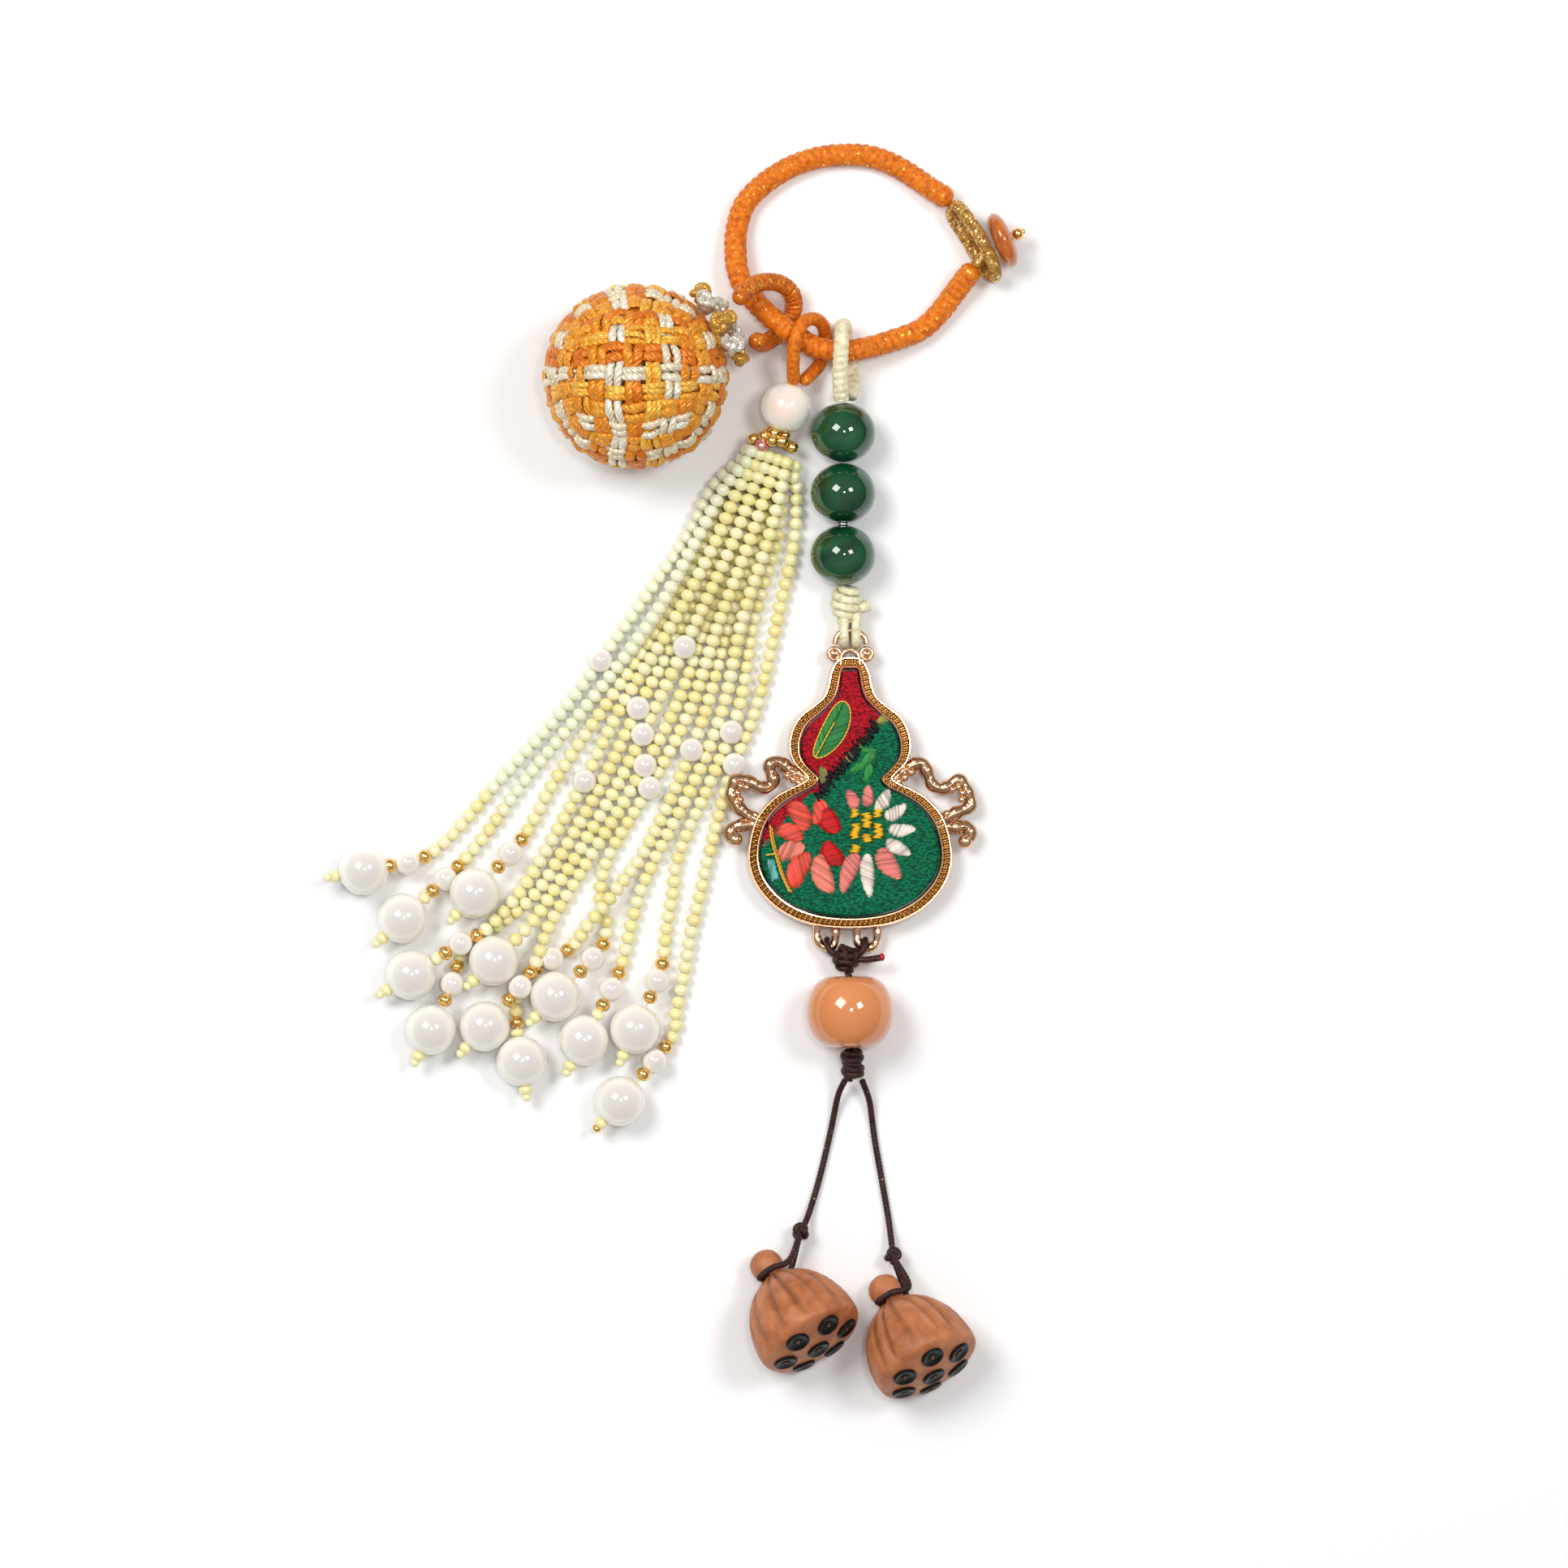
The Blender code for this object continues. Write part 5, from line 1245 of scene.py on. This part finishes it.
# Brown knots: the pod cord is looped through the gourd's lower rings and knotted above and below the
# barrel bead. Its cut end is sealed with a drop of red wax.


def braid_of(radius):
    """The radius of a thin round braid, its strands crossing both ways."""
    return lambda along, angle: radius * (0.86 + 0.14 * max(abs(math.sin(angle + math.tau * along / 1.5)),
                                                            abs(math.sin(angle - math.tau * along / 1.5))))


top_bm = bmesh.new()
sleeve(top_bm, coil(((34.6, -39.7, 4.2), (34.6, -37.2, 4.2), (34.7, -35.2, 4.2)),
                    lambda part: 0.9 + 1.3 * math.sin(math.pi * part), 3.6), 10, braid_of(0.72))
sleeve(top_bm, coil(((32.6, -38.2, 4.4), (34.8, -37.0, 4.8), (37.0, -36.6, 4.4)),
                    lambda part: 0.7 + 0.9 * math.sin(math.pi * part), 2.6), 10, braid_of(0.68))
for x, turn_in in ((30.9, 1), (38.4, -1)):
    bight = ((34.6, -37.6, 4.4), (x + 0.9 * turn_in, -36.2, 4.7), (x, -34.6, 4.25), (x, -33.7, 2.8), (x, -34.6, 1.35),
             (x + 0.9 * turn_in, -36.4, 1.6), (34.6, -37.8, 3.4))
    sleeve(top_bm, smooth_line(bight, 0.15), 10, braid_of(0.66))
sleeve(top_bm, smooth_line(((35.5, -37.4, 5.0), (38.5, -37.6, 5.4), (41.4, -37.2, 5.2)), 0.15), 10, braid_of(0.68))
sleeve(top_bm, smooth_line(((34.6, -39.2, 4.6), (34.9, -40.2, 6.4), (35.2, -40.9, 8.2)), 0.15), 10, braid_of(0.66))
show("brown_knot_above", top_bm, BROWN_SILK, ["brown_knot_top"])
wax_bm = bmesh.new()
bead(wax_bm, Vector((41.7, -37.1, 5.2)) + PLAN_SHIFT, Vector((1, 0.1, 0)).normalized(), 0.8, 0.6, fine=14)
show("wax_tip", wax_bm, plain_material("red_wax", (0.45, 0.01, 0.02), 0.25))

low_bm = bmesh.new()
sleeve(low_bm, coil(((35.7, -55.6, 6.6), (35.9, -58.2, 5.6), (36.0, -60.9, 4.7)),
                    lambda part: 0.8 + 0.95 * abs(math.sin(2 * math.pi * part)) ** 0.5, 5.2), 10, braid_of(0.7))
sleeve(low_bm, smooth_line(((35.7, -55.4, 6.8), (35.9, -58.2, 5.6), (36.0, -61.0, 4.7)), 0.4), 8,
       lambda along, angle: 1.0)
show("brown_knot_below", low_bm, BROWN_SILK, ["brown_knot_low"])


# Lotus pods: two carved wooden pods with a pierced neck ball, grooved sides and a domed face that
# holds black ring seeds. A knotted bight of the pod cord passes through each neck.

POD_LEAN = math.radians(26)
PODS = (
    ("left", (18.9, -98.4), (0.54, -0.84), (25.6, -91.6), 3, math.radians(9), POD_CORD_LEFT),
    ("right", (42.4, -103.3), (0.50, -0.866), (43.9, -96.4), 8, math.radians(45), POD_CORD_RIGHT),
)
# distance from the neck ball's centre along the pod, radius, share of the groove's depth
POD_PROFILE = (
    (-3.3, 0.0, 0.0), (-3.15, 1.1, 0.0), (-2.6, 2.1, 0.0), (-1.8, 2.85, 0.0), (-0.8, 3.2, 0.0), (0.2, 3.25, 0.0),
    (1.2, 3.0, 0.0), (2.0, 2.7, 0.1), (2.6, 2.6, 0.3), (3.2, 3.0, 0.6), (3.9, 4.0, 0.8), (5.2, 5.9, 1.0), (6.5, 7.3, 1.0),
    (8.0, 8.4, 1.0), (10.0, 9.5, 1.0), (12.0, 10.2, 1.0), (14.0, 10.65, 0.9), (16.0, 10.85, 0.6), (17.6, 10.8, 0.25),
    (18.4, 10.6, 0.0), (18.9, 10.2, 0.0), (19.3, 9.0, 0.0), (19.9, 7.0, 0.0), (20.4, 5.0, 0.0), (20.8, 2.6, 0.0),
    (21.0, 0.0, 0.0),
)
GROOVE_DEPTH = 0.95


def carved_wood(name, dark, light):
    """Oiled reddish wood: long grain, darker in the carved grooves."""
    made = plain_material(name, light, 0.45, specular_ior_level=0.4)
    tree = made.node_tree
    shader = tree.nodes["Principled BSDF"]
    place = tree.nodes.new("ShaderNodeTexCoord").outputs["Object"]
    grain = add(made, "ShaderNodeTexNoise", scale=260.0, detail=5.0, roughness=0.6, distortion=0.4)
    fleck = add(made, "ShaderNodeTexNoise", scale=1500.0, detail=3.0)
    hollow = tree.nodes.new("ShaderNodeAttribute")
    hollow.attribute_name = "tint"
    tree.links.new(place, grain.inputs["Vector"])
    tree.links.new(place, fleck.inputs["Vector"])
    tone = ramp(made, grain.outputs["Fac"], ((0.3, dark), (0.65, light)))
    mix = tree.nodes.new("ShaderNodeMix")
    mix.data_type = "RGBA"
    mix.blend_type = "MULTIPLY"
    mix.inputs["Factor"].default_value = 1.0
    tree.links.new(tone, mix.inputs["A"])
    tree.links.new(hollow.outputs["Color"], mix.inputs["B"])
    tree.links.new(mix.outputs["Result"], shader.inputs["Base Color"])
    bump(made, fleck.outputs["Fac"], 0.25, 0.0002)
    return made


POD_WOOD = carved_wood("pod_wood", (0.34, 0.1, 0.032), (0.56, 0.2, 0.075))
SEED_HORN = plain_material("seed_horn", (0.005, 0.0045, 0.0045), 0.35, specular_ior_level=0.25)
SEED_HEART = plain_material("seed_heart", (0.16, 0.05, 0.02), 0.5)
for hand, neck, plan, knot_at, seed, turn, arriving in PODS:
    flat = Vector((*plan, 0)).normalized()
    axis = flat * math.cos(POD_LEAN) + Vector((0, 0, math.sin(POD_LEAN)))
    lift = max(r * math.cos(POD_LEAN) - along * math.sin(POD_LEAN) for along, r, groove in POD_PROFILE)
    centre = Vector((*neck, lift)) + PLAN_SHIFT
    side = axis.cross(Vector((0, 0, 1))).normalized()
    up = side.cross(axis)
    dice = random.Random(seed)
    grooves = [(math.tau * k / 15 + dice.uniform(-0.12, 0.12), dice.uniform(0.5, 1.0), dice.uniform(0.035, 0.08),
                dice.uniform(-0.06, 0.06)) for k in range(15)]

    def groove_depth(along, angle, share):
        deepest = 0.0
        for at, deep, width, bend in grooves:
            off = (angle - at - bend * (along - 10) / 5 + math.pi) % math.tau - math.pi
            deepest = max(deepest, deep * math.exp(-(off / width) ** 2))
        return deepest * share

    rows = []
    for (a0, r0, g0), (a1, r1, g1) in zip(POD_PROFILE, POD_PROFILE[1:]):
        rows += [(a0 + (a1 - a0) * t, r0 + (r1 - r0) * t, g0 + (g1 - g0) * t) for t in (0.0, 0.5)]
    rows.append(POD_PROFILE[-1])
    columns = 110
    pod_bm = fresh((1, 1, 1))
    layer = pod_bm.verts.layers.float_color.get("tint")
    shades = {}

    def place(i, j):
        along, r, share = rows[j]
        angle = math.tau * i / columns
        cut = groove_depth(along, angle, share)
        facet = 0.18 * math.sin(5 * angle + seed) * min(1.0, max(0.0, (along - 14) / 4)) if along < 20 else 0.0
        r = max(0.0, r - GROOVE_DEPTH * cut - (facet if r else 0.0))
        at = centre + axis * along + side * (r * math.cos(angle)) + up * (r * math.sin(angle))
        shades[tuple(round(c, 3) for c in at)] = 1.0 - 0.6 * cut
        return Vector((at.x, at.y, max(at.z, 0.01)))

    for vert in roll(pod_bm, columns, len(rows) - 1, place):
        shade = shades.get(tuple(round(c, 3) for c in vert.co), 0.8)
        vert[layer] = (shade, shade, shade, 1.0)
    bmesh.ops.remove_doubles(pod_bm, verts=pod_bm.verts, dist=1e-4)
    pod = show("pod_carving_" + hand, pod_bm, POD_WOOD, ["pod_" + hand])

    eye = centre + axis * 2.7
    bore_bm = bmesh.new()
    lathe(bore_bm, ((-9, 0.0), (-9, 1.2), (9, 1.2), (9, 0.0)), eye, (up * 0.8 + side * 0.6).normalized(), 20)
    bmesh.ops.recalc_face_normals(bore_bm, faces=bore_bm.faces)
    bmesh.ops.scale(bore_bm, verts=bore_bm.verts, vec=(MM, MM, MM))
    bore_mesh = bpy.data.meshes.new("bore")
    bore_bm.to_mesh(bore_mesh)
    bore_bm.free()
    bore = bpy.data.objects.new("bore", bore_mesh)
    bpy.context.scene.collection.objects.link(bore)
    cut = pod.modifiers.new("bore", "BOOLEAN")
    cut.operation = "DIFFERENCE"
    cut.solver = "EXACT"
    cut.object = bore
    drilled = bpy.data.meshes.new_from_object(pod.evaluated_get(bpy.context.evaluated_depsgraph_get()))
    pod.modifiers.clear()
    pod.data = drilled
    bpy.data.objects.remove(bore)

    seeds = bmesh.new()
    hearts = bmesh.new()
    for k in range(7):
        angle = math.tau * k / 6 + turn
        reach = 0.0 if k == 6 else 6.9
        along = 21.05 if k == 6 else 20.05
        out = (axis + (side * math.cos(angle) + up * math.sin(angle)) * (0.0 if k == 6 else 0.27)).normalized()
        at = centre + axis * along + (side * math.cos(angle) + up * math.sin(angle)) * reach
        rim_profile = ((-0.6, 0.0), (-0.6, 2.35), (0.15, 2.4), (0.4, 2.15), (0.4, 1.8), (0.16, 1.5), (0.14, 1.0), (0.34, 0.8),
                       (0.3, 0.6), (0.1, 0.5), (0.1, 0.0))
        lathe(seeds, rim_profile, at, out, 28)
        heart = ((0.05, 0.0), (0.05, 0.46), (0.24, 0.4), (0.28, 0.0))
        lathe(hearts, heart, at, out, 14)
    show("pod_seeds_" + hand, seeds, SEED_HORN, sharp=40)
    show("pod_seed_hearts_" + hand, hearts, SEED_HEART)

    knot_centre = Vector((*knot_at, 3.6))
    tie = (
        knot_centre + Vector((0, 0, 0.7)), eye - PLAN_SHIFT - side * 4.6 + up * 2.8, eye - PLAN_SHIFT - side * 0.9 + up * 4.1,
        eye - PLAN_SHIFT + side * 2.3 + up * 3.5, eye - PLAN_SHIFT + side * 1.2 + up * 1.6,
        eye - PLAN_SHIFT - side * 1.2 - up * 1.6, eye - PLAN_SHIFT - side * 2.8 - up * 3.2,
        knot_centre - Vector((0, 0, 0.7)),
    )
    tie_bm = bmesh.new()
    sleeve(tie_bm, smooth_line(tie, 0.15), 12, braid_of(0.64))
    tight_knot(tie_bm, knot_centre + PLAN_SHIFT, 1.25, 0.72, None, 1.1 * seed)
    sleeve(tie_bm, smooth_line((knot_centre, Vector(arriving[-1]), Vector(arriving[-2])), 0.15)[:18], 12, braid_of(0.64))
    show("pod_tie_knot_" + hand, tie_bm, BROWN_SILK, ["pod_tie_" + hand])
